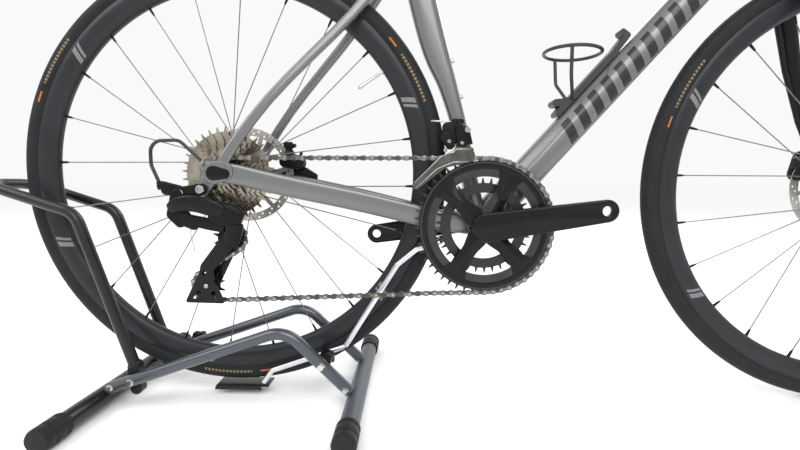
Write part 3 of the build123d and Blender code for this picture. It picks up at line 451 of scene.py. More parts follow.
def hull_outline(circles):
    """The outline of a convex chain of (x, z, r) circles."""
    cloud = sorted({(round(x, 4), round(z, 4)) for spot in circles for x, z in circle(*spot, 28)})

    def half(points):
        chain = []
        for p in points:
            while len(chain) > 1 and ((chain[-1][0] - chain[-2][0]) * (p[1] - chain[-2][1])
                                      - (chain[-1][1] - chain[-2][1]) * (p[0] - chain[-2][0])) <= 0:
                chain.pop()
            chain.append(p)
        return chain[:-1]
    return half(cloud) + half(cloud[::-1])


def plate(bm, loops, low, high, bevel=1.0):
    """A plate from y low to high with rounded edges; the first loop is its outline, the rest are holes."""
    curve = bpy.data.curves.new("outline", "CURVE")
    curve.dimensions = "2D"
    curve.fill_mode = "BOTH"
    for loop in loops:
        spline = curve.splines.new("POLY")
        spline.points.add(len(loop) - 1)
        for point, (x, z) in zip(spline.points, loop):
            point.co = (x, z, 0, 1)
        spline.use_cyclic_u = True
    curve.extrude = max((high - low) / 2 - bevel, 0)
    curve.bevel_depth = bevel
    curve.offset = -bevel
    curve.bevel_resolution = 2
    holder = bpy.data.objects.new("outline", curve)
    bpy.context.scene.collection.objects.link(holder)
    mesh = bpy.data.meshes.new_from_object(holder.evaluated_get(bpy.context.evaluated_depsgraph_get()))
    bpy.data.objects.remove(holder)
    mesh.transform(Matrix(((1, 0, 0, 0), (0, 0, -1, (low + high) / 2), (0, 1, 0, 0), (0, 0, 0, 1))))
    bm.from_mesh(mesh)
    bpy.data.meshes.remove(mesh)
    bmesh.ops.remove_doubles(bm, verts=bm.verts, dist=0.0005)


def slab(bm, circles, low, high, bevel=1.0):
    plate(bm, [hull_outline(circles)], low, high, bevel)


def bolt(bm, x, z, y, out, r=5.0, tall=3.0, socket=2.4):
    """A cap-screw head whose face looks along out (-1 or 1) from y, with a sunk round socket."""
    profile = ((0.001, 0), (r, 0), (r, tall * 0.75), (r * 0.86, tall), (socket, tall), (socket * 0.98, tall * 0.35),
               (0.001, tall * 0.3))
    add_rings(bm, [ring_at(x, y + out * rise, z, radius) for radius, rise in profile])


def mirrored(points):
    return [(x, -y, z, *rest) for x, y, z, *rest in points]


def dress(node, finish):
    """Gives a CAD node whose shape is right its finish."""
    materials = NODES[node].data.materials
    materials.clear()
    materials.append(finish.material)


# ---- settings
def colour(name, description, default):
    return FloatVectorProperty(name=name, description=description, default=default, size=3, subtype="COLOR")


def length(name, description, default, low, high):
    return FloatProperty(name=name, description=description + ", mm", default=default, min=low, max=high)


class BikePaintSettings(bpy.types.PropertyGroup):
    frame_colour: colour("Frame colour", "Lacquer on the frame tubes", (0.155, 0.16, 0.16))
    stand_colour: colour("Stand colour", "Paint on the stand's bent tubes", (0.06, 0.066, 0.078))
    black: colour("Gloss black", "Crank, derailleur and fork", (0.006, 0.006, 0.007))


class BikeWheelSettings(bpy.types.PropertyGroup):
    spokes: IntProperty(name="Spokes", description="Spokes in each wheel", default=24, min=12, max=36)
    spoke_radius: length("Spoke radius", "Radius of a spoke's middle", 0.85, 0.5, 1.5)
    nipple_length: length("Nipple length", "Visible length of a nipple", 13.0, 5, 16)


class BikeCockpitSettings(bpy.types.PropertyGroup):
    tape_pitch: length("Tape pitch", "Distance between turns of the bar tape", 17.0, 8, 30)
    tape_step: length("Tape step", "Height of each overlap", 0.55, 0.1, 1.5)


class BikeStageSettings(bpy.types.PropertyGroup):
    lens: FloatProperty(name="Lens", description="Focal length, mm on a 36 mm sensor", default=19.9, min=10, max=100)
    yaw: FloatProperty(name="Yaw", description="Camera turn to the left of straight across",
                       default=math.radians(-1.67), subtype="ANGLE", unit="ROTATION")
    tilt: FloatProperty(name="Tilt", description="Camera tilt below the horizon", default=math.radians(5.52),
                        subtype="ANGLE", unit="ROTATION")


# ---- pieces
class BIKE_OT_stage(bpy.types.Operator):
    """Camera, pale floor and soft studio light."""

    bl_idname = "bike.stage"
    bl_label = "Stage"

    def execute(self, context):
        settings = context.scene.bike_stage
        world = bpy.data.worlds.new("studio")
        world.use_nodes = True
        world.node_tree.nodes["Background"].inputs["Color"].default_value = (1, 1, 1, 1)
        world.node_tree.nodes["Background"].inputs["Strength"].default_value = 0.95
        context.scene.world = world
        context.scene.view_settings.view_transform = "Standard"
        bm = bmesh.new()
        bmesh.ops.create_grid(bm, x_segments=2, y_segments=2, size=60)
        mesh = bpy.data.meshes.new("floor")
        bm.to_mesh(mesh)
        bm.free()
        floor = bpy.data.objects.new("floor", mesh)
        floor.location.z = -0.001
        context.scene.collection.objects.link(floor)
        pale = Finish("floor_white", 0.9)
        pale.set("Base Color", pale.noise(0.4).mix((0.97, 0.97, 0.97), (0.985, 0.985, 0.985)))
        floor.data.materials.append(pale.material)
        for place, aim, size, power in (((0.3, -2.6, 2.6), (0, 0, 0.4), 2.2, 60),
                                        ((-2.2, -1.2, 2.4), (0, 0, 0.4), 1.8, 34),
                                        ((1.6, 2.2, 2.8), (0.2, 0, 0.5), 2.4, 60)):
            light = bpy.data.lights.new("softbox", "AREA")
            light.energy = power
            light.size = size
            lamp = bpy.data.objects.new("softbox", light)
            lamp.location = place
            lamp.rotation_euler = (Vector(aim) - Vector(place)).to_track_quat("-Z", "Y").to_euler()
            context.scene.collection.objects.link(lamp)
        camera = bpy.data.objects.new("camera", bpy.data.cameras.new("camera"))
        camera.data.lens = settings.lens
        camera.data.sensor_width = 36
        camera.data.clip_start = 0.02
        camera.location = (REAR_HUB_AT.x + 0.28619, -0.70843, 0.34753)
        yaw, tilt = settings.yaw, settings.tilt
        look = Vector((math.sin(yaw) * math.cos(tilt), math.cos(yaw) * math.cos(tilt), -math.sin(tilt)))
        camera.rotation_euler = look.to_track_quat("-Z", "Y").to_euler()
        context.scene.collection.objects.link(camera)
        context.scene.camera = camera
        return {"FINISHED"}


# Rubber foot on a cross tube's end: (distance from the middle, radius).
FOOT_PROFILE = ((142.2, 14.4), (142.2, 16.4), (144, 16.9), (150, 16.95), (151, 16.2), (153, 16.2), (154, 16.95),
                (170, 16.95), (171, 16.3), (173, 16.3), (174, 16.95), (184, 16.9), (187.4, 15), (187.9, 12),
                (187.9, 0.5))


class BIKE_OT_stand(bpy.types.Operator):
    """The floor stand: painted tubes, chrome wire, feet, knob and fasteners."""

    bl_idname = "bike.stand"
    bl_label = "Stand"

    def execute(self, context):
        grey = tuple(context.scene.bike_paint.stand_colour)
        paint = speckled("stand_grey_paint", grey, tuple(c * 1.35 for c in grey), 9, 0.3, 0.12, 0.12, 0.0004,
                         metallic=0.6, coat=0.4)
        cross = speckled("cross_tube_paint", tuple(c * 1.2 for c in grey), tuple(c * 1.6 for c in grey), 14, 0.42,
                         0.15, 0.25, 0.0005, metallic=0.45)
        black = speckled("stand_black_paint", (0.006, 0.006, 0.007), (0.014, 0.014, 0.016), 12, 0.3, 0.15, 0.15,
                         0.0004, specular=0.3, coat=0.1)
        wire = speckled("bright_plated_wire", (0.55, 0.57, 0.6), (0.75, 0.76, 0.78), 25, 0.14, 0.1, 0.05, 0.0002,
                        metallic=1.0)
        plastic = speckled("foot_plastic", (0.008, 0.008, 0.009), (0.02, 0.02, 0.022), 30, 0.5, 0.2, 0.3, 0.0005,
                           specular=0.2)
        steel = speckled("bolt_steel", (0.5, 0.5, 0.48), (0.72, 0.71, 0.68), 60, 0.25, 0.15, 0.1, 0.0002, metallic=1.0)
        dress("stand_side_tubes", paint)
        dress("stand_front_tube", cross)
        dress("stand_rear_tube", black)
        dress("stand_wheel_hoop", black)
        dress("stand_wire_loop", wire)
        dress("stand_wire_brackets", black)
        dress("stand_bolts", steel)
        bm = bmesh.new()
        holes = [circle(x, 10.6, 1.7, 12) for x in (-28, 25)]
        for low, high in ((-16.9, -14.6), (14.6, 16.9)):
            plate(bm, [[(-40, 7.1), (38, 7.1), (36, 13.9), (-38, 13.9)], *holes], low, high, 0.5)
        plate(bm, [[(-38, 12.2), (49.6, 12.2), (49.6, 13.9), (-38, 13.9)]], -16.8, 16.8, 0.4)
        for x in (-28, 25):
            bolt(bm, x, 10.6, -16.9, -1, 3.0, 1.2, 1.2)
        finish_mesh("cradle_plate", bm, black, ["stand_cradle_plate"], crease=35, body="stand",
                    place=STAND)
        for x in (200.0, -195.0):
            for sign in (-1, 1):
                add_rings(bm, [[Vector((p.x, p.y, max(p.z, 0.05))) for p in ring_at(x, sign * y, 16.4, r, 48)]
                               for y, r in FOOT_PROFILE])
        finish_mesh("tube_end_feet", bm, plastic, ["stand_end_caps"], crease=40, body="stand",
                    place=STAND)
        lobes = []
        for k in range(72):
            a = 2 * math.pi * k / 72
            r = 15.8 + 1.5 * math.cos(6 * a)
            lobes.append((-112 + r * math.cos(a), 54.6 + r * math.sin(a)))
        plate(bm, [lobes], 77.2, 90.8, 3.0)
        plate(bm, [circle(-112, 54.6, 6.8)], 74.4, 77.6, 0.4)
        bolt(bm, -112, 54.6, 90.4, 1, 4.0, 0.6, 1.8)
        finish_mesh("lock_knob", bm, plastic, ["stand_lock_knob"], crease=40, body="lock_knob",
                    place=STAND)
        return {"FINISHED"}


class BIKE_OT_frame(bpy.types.Operator):
    """Main tubes, stays and dropouts in silver-grey lacquer."""

    bl_idname = "bike.frame"
    bl_label = "Frame"

    def execute(self, context):
        colour = tuple(context.scene.bike_paint.frame_colour)
        plain = painted_tube("frame_lacquer", colour, False)
        marked = painted_tube("down_tube_lacquer", colour, True)
        black = gloss_black(context, "dropout_black")
        steel = speckled("frame_bolt_steel", (0.3, 0.3, 0.29), (0.55, 0.54, 0.52), 60, 0.3, 0.15, metallic=1.0)

        bm = bmesh.new()
        stations = [(402, 0, -62, 58, 49), (472, 0, 19, 52, 46.5), (640, 0, 214.7, 49.5, 45.6), (760, 0, 354, 47, 46),
                    (797, 0, 397, 42, 45)]
        lofted(bm, stations, ring=faceted)
        finish_mesh("main_down_tube", bm, marked, ["down_tube"], 1)

        tall = [(391, 0, -58, 48, 26), (379, 0, -18, 42, 27), (366, 0, 40, 34, 25.5), (354, 0, 92, 31.5, 24.3),
                (343.7, 0, 122, 29.6, 27),
                (334.5, 0, 152, 28.8, 30), (323, 0, 176, 28.8, 37.5), (310.4, 0, 212, 28.8, 42),
                (295.5, 0, 264, 29.6, 42.4),
                (276, 0, 338, 29.8, 42), (257.2, 0, 410.4, 29.6, 41.4)]
        lofted(bm, tall, 2.7)
        finish_mesh("aero_seat_tube", bm, plain, ["seat_tube"], 1)

        lofted(bm, [(266, 0, 394.5, 27, 29), (300, 0, 399, 29.5, 30), (500, 0, 427, 33, 31.5), (700, 0, 453, 37, 35.5),
                    (792, 0, 461, 39, 41)],
               2.9)
        finish_mesh("upper_tube", bm, plain, ["top_tube"], 1)

        neck = [(HEAD_LOW[0] + HEAD_WAY[0] * d, 0, HEAD_LOW[1] + HEAD_WAY[1] * d, 2 * r, 2 * r) for d, r in
                ((0.4, 27.6), (10, 27.4), (40, 25.6), (80, 24), (120, 23.2), (149, 22.6))]
        lofted(bm, neck, 2.0, 28)
        finish_mesh("head_tube_shell", bm, plain, ["head_tube"], 1)

        turned(bm, [(17.1, -34), (22.4, -34), (23.3, -33), (23.4, -20), (23.4, 20), (23.3, 33), (22.4, 34),
                    (17.1, 34)], BB)
        finish_mesh("bottom_bracket_housing", bm, plain, ["bottom_bracket_shell"], crease=40)

        lower = [(3, 75.6, 1.5, 7.6, 26), (22, 73.6, 0, 8.4, 31.5), (40, 68.5, -3, 10.6, 29.4),
                 (85, 61.5, -14, 11.8, 30.5), (150, 50, -26, 14.6, 31.4),
                 (215, 41, -38, 15.6, 32.3), (295, 31.5, -57, 15.6, 32), (345, 26.5, -66, 14.8, 32),
                 (379, 24, -70, 14.6, 32)]
        for points in (lower, mirrored(lower)):
            lofted(bm, points, 3.2)
        for low, high in ((71.4, 79.4), (-79.4, -71.4)):
            slab(bm, [(0, 0, 16.6), (14, 3, 14.4)], low, high, 1.8)
        slab(bm, [(-3, -6, 9.5), (-17, -24, 8.2)], -77.3, -71.4, 0.8)
        finish_mesh("chain_stays", bm, plain, ["chainstays"], 1)

        upper = [(9, 75.4, 10, 7.6, 17), (16, 74.6, 22, 8, 16.5), (29, 70, 46, 9.2, 15.6), (72, 60, 108, 10.6, 14.6),
                 (130, 45, 172, 11.6, 14.6),
                 (194, 27, 240, 12.6, 15.1), (240, 13, 306, 12.6, 17.5), (262, 7.5, 340, 12, 21)]
        for points in (upper, mirrored(upper)):
            lofted(bm, points, 2.8)
        finish_mesh("seat_stays", bm, plain, ["seatstays"], 1)

        slab(bm, [(0, 0, 10.6), (17, -1, 7.2)], -79.9, -78.6, 0.5)
        finish_mesh("axle_recess_surround", bm, black, crease=40)
        bolt(bm, 0, 0, -79.6, -1, 6.4, 0.5, 3.2)
        shaft(bm, (0, -78, 0), (0, 79, 0), 6, 24)
        bolt(bm, 0, 0, 79.6, 1, 8.4, 3.6, 3.0)
        finish_mesh("rear_axle_bolt", bm, black, ["rear_thru_axle"], crease=40)
        dress("frame_bearings", black)
        dress("frame_fasteners", steel)
        return {"FINISHED"}


def gloss_black(context, name, roughness=0.2):
    black = tuple(context.scene.bike_paint.black)
    return speckled(name, black, tuple(c * 1.5 + 0.001 for c in black), 16, roughness, 0.12, 0.03, 0.0002, coat=0.1,
                    coat_roughness=0.04, specular=0.11)


def satin_black(name):
    return speckled(name, (0.004, 0.004, 0.005), (0.011, 0.011, 0.0125), 26, 0.36, 0.18, 0.12, 0.0003, specular=0.12)


class BIKE_OT_wheels(bpy.types.Operator):
    """Tyres, rims with valves, laced spokes with nipples, hubs and brake rotors."""

    bl_idname = "bike.wheels"
    bl_label = "Wheels"

    def execute(self, context):
        settings = context.scene.bike_wheel
        for tag, at, shift, turn, flange, left, right, label in (
                ("rear", REAR_HUB_AT, 0.0, 17, 22.5, 33.0, -20.2, 268),
                                                                 ("front", FRONT_HUB_AT, WHEELBASE, 5, 19.5, 22.5,
                                                                  -36.0, 152)):
            body = tag + "_wheel"
            place = BIKE @ Matrix.Translation((shift, 0, 0))
            bm = bmesh.new()
            profile = []
            for k in range(29):
                a = math.radians(-138 + 276 * k / 28)
                profile.append((TYRE_MID + TYRE_HALF * math.cos(a), TYRE_HALF * math.sin(a)))
            profile += [(316.4, 8.5), (309, 8.4), (309, -8.4), (316.4, -8.5)]
            turned(bm, profile, steps=180)
            finish_mesh(tag + "_tyre_casing", bm, tyre_finish(tag + "_tyre_rubber", at, label),
                        [tag + "_tyre"], crease=50, body=body, place=place)
            outline = [(316, -10.6), (314.6, -11.6), (308, -11.95), (300, -11.5), (292, -8.8), (287.4, -5.2),
                       (286.1, -2.2), (286.1, 2.2),
                       (287.4, 5.2), (292, 8.8), (300, 11.5), (308, 11.95), (314.6, 11.6), (316, 10.6), (316, 9.1),
                       (308.6, 8.9), (308.6, -8.9), (316, -9.1)]
            turned(bm, outline, steps=180)
            finish_mesh(tag + "_rim_hoop", bm, rim_finish(tag + "_rim_satin", at, turn), [tag + "_rim"],
                        crease=50, body=body, place=place)
            a = math.radians(VALVE)
            out = Vector((math.cos(a), 0, math.sin(a)))
            shaft(bm, out * 286.4, out * 240.5, [(0, 4.2), (0.05, 4.2), (0.05, 3.0), (0.09, 2.6), (0.74, 2.6),
                                                 (0.76, 3.1), (0.97, 3.0), (1, 1.6)], 16)
            brass = speckled(tag + "_valve_metal", (0.45, 0.45, 0.44), (0.65, 0.64, 0.6), 200, 0.25, 0.15, metallic=1.0)
            finish_mesh(tag + "_valve", bm, brass, crease=40, body=body, place=place)

            spokes, nipples = bmesh.new(), bmesh.new()
            for k in range(settings.spokes):
                rim_at = math.radians(VALVE + 7.5 + 360.0 * k / settings.spokes)
                y = left if k % 2 else right
                hub_at = rim_at + math.radians(62 if (k // 2) % 2 else -62)
                head = Vector((flange * math.cos(hub_at), y, flange * math.sin(hub_at)))
                tip = Vector((287.3 * math.cos(rim_at), 0.03 * y, 287.3 * math.sin(rim_at)))
                r = settings.spoke_radius
                shaft(spokes, head, tip, [(0, 1.6), (0.02, 1.5), (0.05, r * 1.15), (0.12, r), (0.9, r), (1, r * 1.1)],
                      8)
                way = (head - tip).normalized()
                shaft(nipples, tip + way * 1.4, tip + way * settings.nipple_length,
                      [(0, 2.3), (0.2, 2.1), (0.75, 1.75), (1, 1.2)], 8)
            bright = speckled(tag + "_spoke_steel", (0.10, 0.10, 0.11), (0.22, 0.22, 0.23), 60, 0.3, 0.1, metallic=0.9)
            finish_mesh(tag + "_laced_spokes", spokes, bright, [tag + "_spokes"], crease=60, body=body,
                        place=place)
            finish_mesh(tag + "_nipples", nipples, satin_black(tag + "_nipple_black"), crease=50,
                        body=body, place=place)
            rotor = ringed(tag + "_rotor_steel", (0.32, 0.3, 0.27), (0.6, 0.58, 0.54), at, 0.3)
            dress(tag + "_rotor", rotor)

        hub_black = satin_black("hub_black")
        turned(bm, [(HUB_AXLE_R, -70.5), (10.6, -70.5), (11, -69.8), (11, -68.7), (15.4, -68.4), (15.4, -24.2),
                    (19, -24), (24.4, -22.6), (25, -21.6),
                    (25, -19), (24, -17.6), (16, -13), (13.4, -6), (12.8, 8), (13.4, 22), (18, 28), (24.4, 31),
                    (25, 32), (25, 34.2), (24, 35.2),
                    (17, 38), (16, 40), (16, 50.6), (21.6, 52), (21.8, 57.2), (16, 60), (11, 62), (11, 69.8),
                    (10.6, 70.5), (HUB_AXLE_R, 70.5)])
        finish_mesh("rear_hub_shell", bm, hub_black, ["rear_hub"], crease=40, body="rear_wheel")
        turned(bm, [(HUB_AXLE_R, -49.5), (9.6, -49.5), (10, -48.8), (10.6, -42.4), (20, -38.2), (21.6, -37.4),
                    (21.8, -35), (20, -33.6), (13, -28), (11.8, -20),
                    (11.8, 8), (14, 16), (20, 19.6), (21.8, 21), (21.8, 24), (20, 25.6), (14, 28), (14, 33),
                    (21.6, 34), (21.8, 36.9), (21.8, 39.6),
                    (15, 43), (10, 45), (10, 48.8), (9.6, 49.5), (HUB_AXLE_R, 49.5)], (WHEELBASE, 0))
        finish_mesh("front_hub_shell", bm, hub_black, ["front_hub"], crease=40, body="front_wheel")
        return {"FINISHED"}


class BIKE_OT_crankset(bpy.types.Operator):
    """Crank arms, ridged spider and both chainrings."""

    bl_idname = "bike.crankset"
    bl_label = "Crankset"

    def execute(self, context):
        place = BIKE @ Matrix.Translation((BB[0], 0, BB[1]))
        gloss = gloss_black(context, "crank_gloss", 0.2)
        hole = Vector((math.cos(CRANK_WAY), math.sin(CRANK_WAY))) * CRANK_LONG
        eye = circle(hole.x, hole.y, PEDAL_EYE_R)
        bm = bmesh.new()
        outline = hull_outline([(0, 0, 21.6), (hole.x * 0.5, hole.y * 0.5, 18.8), (hole.x, hole.y, 16.6)])
        plate(bm, [outline, eye], -72.8, -60.6, 3.2)
        add_rings(bm, [ring_at(0, y, 0, r, 40) for y, r in ((-52.2, 17), (-54, 20), (-58, 21.4), (-62, 21.6))])
        shaft(bm, (0, -53, 0), (0, 56.8, 0), 12, 32)
        finish_mesh("right_crank", bm, gloss, ["crank_arm_right"], crease=35, body="crankset",
                    place=place)
        for a in SPIDER:
            way = Vector((math.cos(math.radians(a)), 0, math.sin(math.radians(a))))
            side = Vector((-way.z, 0, way.x))
            rings = []
            for d, half, ridge, low in ((8, 15, -58, -51), (22, 15.5, -58, -49.6), (40, 11.5, -57, -49.2),
                                        (58, 11, -55, -49.2),
                                        (74, 14, -52.4, -49), (86, 21, -50.3, -48.6)):
                crest = 0.18 * half
                points = [(-half, low), (-half, low - 0.6), (-crest, ridge), (crest, ridge), (half, low - 0.6),
                          (half, low)]
                rings.append([way * d + side * u + Vector((0, y, 0)) for u, y in points])
            add_rings(bm, rings)
        finish_mesh("crank_spider", bm, gloss, crease=25, body="crankset", place=place)
        turned(bm, [(97.6, -45.9), (97.6, -47.4), (96, -48.7), (92, -49.2), (86, -49.4), (84.4, -48.6), (79, -48.4),
                    (76, -47.6), (74.3, -46.4), (74.3, -45.9)], steps=120)
        finish_mesh("chainring_cover", bm, gloss, crease=30, body="crankset", place=place)
        hub = BIKE @ Vector((BB[0], 0, BB[1]))
        dress("outer_chainring", ringed("ring_teeth_metal", (0.02, 0.02, 0.021), (0.06, 0.058, 0.055), hub, 0.35, 0.7))
        dress("inner_chainring", ringed("inner_ring_metal", (0.015, 0.015, 0.016), (0.05, 0.05, 0.05), hub, 0.35, 0.7))
        outline = hull_outline([(0, 0, 19.6), (-hole.x * 0.5, -hole.y * 0.5, 17.2), (-hole.x, -hole.y, 16.3)])
        plate(bm, [outline, circle(-hole.x, -hole.y, PEDAL_EYE_R)], 60.6, 72.8, 2.6)
        turned(bm, [(12.1, 46.2), (18.6, 46.2), (19.6, 47.4), (19.6, 61), (12.1, 61)])
        bolt(bm, 0, 0, 72.4, 1, 11, 0.6, 5)
        for y in (62.7, 69.3):
            shaft(bm, (-19, y, -22), (-19, y, -18), 2.4, 16)
        finish_mesh("left_crank", bm, gloss, ["crank_arm_left"], crease=35, body="crankset", place=place)
        return {"FINISHED"}


def chain_links():
    """Centre, side faces and direction of every plate and inner link of the CAD chain, in mm."""
    chain = NODES["chain"]
    bm = bmesh.new()
    bm.from_mesh(chain.data)
    bm.transform(BIKE.inverted() @ chain.matrix_world)
    bmesh.ops.remove_doubles(bm, verts=bm.verts, dist=0.002)
    seen, links = set(), []
    for start in bm.verts:
        if start in seen:
            continue
        seen.add(start)
        island, front = [], [start]
        while front:
            vert = front.pop()
            island.append(vert.co)
            for edge in vert.link_edges:
                other = edge.other_vert(vert)
                if other not in seen:
                    seen.add(other)
                    front.append(other)
        first = min(island, key=lambda co: co.x + 0.001 * co.z)
        tip = max(island, key=lambda co: (co.x - first.x) ** 2 + (co.z - first.z) ** 2)
        tail = max(island, key=lambda co: (co.x - tip.x) ** 2 + (co.z - tip.z) ** 2)
        run = Vector((tip.x - tail.x, tip.z - tail.z)).normalized()
        links.append(((tip.x + tail.x) / 2, (tip.z + tail.z) / 2, min(co.y for co in island),
                      max(co.y for co in island), run))
    bm.free()
    return links


def waisted(x, z, way):
    """A link plate seen from the side: two round ends and a narrow waist."""
    outline = []
    for sign in (1, -1):
        for k in range(-6, 7):
            a = math.radians(k * 19)
            outline.append((sign * (CHAIN_HALF_PITCH + 3.85 * math.cos(a)), sign * 3.85 * math.sin(a)))
        outline.append((0, sign * 2.3))
    return [(x + u * way[0] - v * way[1], z + u * way[1] + v * way[0]) for u, v in outline]


def lamina(bm, outline, centre, low, high):
    """A thin plate with eased edges, light enough to repeat hundreds of times."""
    ease = min(0.15, (high - low) / 4)
    add_rings(bm, [[Vector((centre[0] + (x - centre[0]) * grow, y, centre[1] + (z - centre[1]) * grow)) for x,
                    z in outline]
                   for grow, y in ((0.95, low), (1, low + ease), (1, high - ease), (0.95, high))])


class BIKE_OT_drivetrain(bpy.types.Operator):
    """Cassette, chain, both derailleurs with pulleys, and the shift cable housing."""

    bl_idname = "bike.drivetrain"
    bl_label = "Drivetrain"

    def execute(self, context):
        gloss = gloss_black(context, "derailleur_gloss", 0.24)
        satin = satin_black("derailleur_satin")
        steel = speckled("derailleur_bolt_steel", (0.26, 0.26, 0.25), (0.5, 0.49, 0.47), 60, 0.22, 0.15, metallic=1.0)
        chrome = speckled("front_cage_plating", (0.05, 0.048, 0.046), (0.2, 0.19, 0.18), 55, 0.2, 0.15, 0.05, 0.0002,
                          metallic=1.0)
        dress("cassette", ringed("sprocket_nickel", (0.07, 0.062, 0.05), (0.62, 0.56, 0.46), REAR_HUB_AT, 0.24))
        outer = speckled("chain_outer_steel", (0.09, 0.086, 0.08), (0.26, 0.245, 0.23), 150, 0.3, 0.2, 0.1, 0.0002,
                         metallic=0.95)
        inner = speckled("chain_inner_steel", (0.035, 0.033, 0.03), (0.12, 0.115, 0.105), 150, 0.4, 0.2, 0.1, 0.0002,
                         metallic=0.9)
        pin = speckled("chain_pin_steel", (0.28, 0.27, 0.25), (0.46, 0.44, 0.41), 90, 0.22, 0.1, metallic=1.0)
        plates, rollers, heads = bmesh.new(), bmesh.new(), bmesh.new()
        for x, z, low, high, way in chain_links():
            bow, mid = waisted(x, z, way), (low + high) / 2
            ends = [(x + s * way[0], z + s * way[1]) for s in (-CHAIN_HALF_PITCH, CHAIN_HALF_PITCH)]
            if high - low > 2.7:
                for edge in (mid - 1.75, mid + 1.05):
                    lamina(rollers, bow, (x, z), edge, edge + 0.7)
                for at in ends:
                    lamina(rollers, circle(*at, 3.7, 16), at, mid - 1.05, mid + 1.05)
            else:
                lamina(plates, bow, (x, z), mid - 0.35, mid + 0.35)
                for at in ends:
                    lamina(heads, circle(*at, 1.75, 10), at, mid - 0.44, mid + 0.44)
        finish_mesh("chain_outer_plates", plates, outer, ["chain"], crease=40)
        finish_mesh("chain_inner_links", rollers, inner, crease=40)
        finish_mesh("chain_pin_heads", heads, pin, crease=40)
        dress("front_derailleur_cage", chrome)
        dress("derailleur_cage", gloss)
        for node in ("guide_pulley", "tension_pulley"):
            dress(node, satin)
        dress("shift_cable_housing", speckled("cable_jacket", (0.008, 0.008, 0.008), (0.02, 0.02, 0.02), 60, 0.4, 0.15,
                                              0.1, 0.0002))
        bm = bmesh.new()
        turned(bm, [(9, -68.7), (9, -69.6), (14.8, -69.6), (16.6, -69.0), (16.8, -68.2), (15.6, -67.6), (15.6, -67.0),
                    (9.2, -67.0)], steps=48)
        finish_mesh("lock_ring", bm, steel, crease=40, body="rear_wheel")

        # Rear derailleur: upper bracket, outer link, inner link and the pulley carrier.
        slab(bm, [(-17, -24, 8.6), (-46, -30, 9.6)], -84.5, -77.9, 1.6)
        slab(bm, [(-50, -27, 8.5), (-68, -26, 7), (-73, -18, 5)], -83.2, -75.2, 2.2)
        slab(bm, [(-50, -32, 9), (-56, -60, 9), (-46, -72, 7)], -88.5, -79, 2.2)
        slab(bm, [(-40, -62, 8), (-26, -76, 6), (-36, -70, 8)], -89.5, -80, 2.4)
        finish_mesh("derailleur_upper_bracket", bm, satin, ["rear_derailleur"], crease=35)
        blade = [(-60, -86.5, -52, 8, 15), (-52, -90.5, -47, 9, 21), (-38, -92.6, -43, 8.5, 24),
                 (-22, -93, -43, 8, 24), (-8, -92.4, -46, 8, 25), (8, -91.5, -51, 8, 24), (18, -89, -56, 7, 18)]
        lofted(bm, blade, 2.6)
        finish_mesh("derailleur_outer_link", bm, gloss, subdivide=1)
        inner = [(-38, -84, -66, 9, 15), (-20, -84.5, -70, 9, 17), (0, -84.5, -74, 9, 18), (18, -83.5, -76, 9, 18)]
        lofted(bm, inner, 2.8)
        carrier = [(-4, -83.5, -56, 13, 22), (8, -84, -57, 16, 33), (22, -83.5, -60, 16.5, 38),
                   (34, -82.5, -63, 15, 33), (43, -81.5, -67, 11, 22)]
        lofted(bm, carrier, 2.7)
        neck = [(31, -82.4, -72, 15, 27), (30, -81, -84, 14, 26), (27, -79, -96, 11, 23), (22, -76.6, -106, 6.6, 19)]
        lofted(bm, neck, 2.7)
        finish_mesh("derailleur_carrier", bm, satin, subdivide=1)
        bolt(bm, -17, -24, -84.3, -1, 6.4, 3.0, 3.0)
        bolt(bm, -46, -30, -84.3, -1, 5.6, 3.0, 2.6)
        bolt(bm, -16, -166.5, -73.7, -1, 3.2, 1.4, 1.5)
        finish_mesh("derailleur_bolts", bm, steel, crease=35)
        shaft(bm, (-79.4, -78.6, -13.5), (-76, -79.4, -25), [(0, 3.0), (0.05, 3.8), (0.35, 3.8), (0.4, 4.6),
                                                             (0.95, 4.6), (1, 4)], 16)
        finish_mesh("barrel_adjuster", bm, gloss, crease=40)
        swept(bm, rounded_path([(-29, -87, -72), (-31, -86, -88), (-28, -84.5, -103), (-26.5, -84, -112)], 12, 3),
              lambda s, a: 0.6, 8)
        finish_mesh("loose_inner_wire", bm, steel)

        for edge in ([(290, -53.6, -16), (322, -53.6, 14), (345, -53.6, 24), (368, -53.6, 25)],
                     [(288, -53.6, -8), (326, -53.6, 31), (350, -53.6, 43), (370, -53.6, 43)]):
            swept(bm, rounded_path(edge, 12, 3), lambda s, a: 0.9, 8)
        finish_mesh("front_cage_rolled_edges", bm, steel)

        # Front derailleur: clamp band, links and its anchor bolt.
        slab(bm, [(334, 76, 6), (344, 78, 6), (352, 60, 7), (336, 56, 7)], -46, -33, 2)
        slab(bm, [(334, 60, 8), (340, 49, 6.5)], -51.8, -40, 2)
        slab(bm, [(352, 76, 6), (357, 50, 7)], -50.6, -39, 2)
        slab(bm, [(345, 84, 4), (356, 84, 4)], -44, -34, 1.5)
        plate(bm, [[(340, 53), (375, 53), (368, 79), (338, 79)]], -33.5, -16.6, 1.2)
        finish_mesh("front_derailleur_body", bm, satin, ["front_derailleur"], crease=35)
        bolt(bm, 366, 73, -33.4, -1, 5.0, 4.0, 2.3)
        bolt(bm, 338, 54, -51.4, -1, 2.6, 1.2, 1.2)
        bolt(bm, 357, 52, -50.4, -1, 2.6, 1.2, 1.2)
        bolt(bm, 333, 41, -51.4, -1, 3.0, 1.2, 1.4)
        shaft(bm, (342, -43.5, 83), (311, -43.5, 84), [(0, 0.8), (0.4, 0.8), (0.4, 1.5), (0.98, 1.5), (1, 1.2)], 10)
        finish_mesh("front_derailleur_bolts", bm, steel, crease=35)
        return {"FINISHED"}


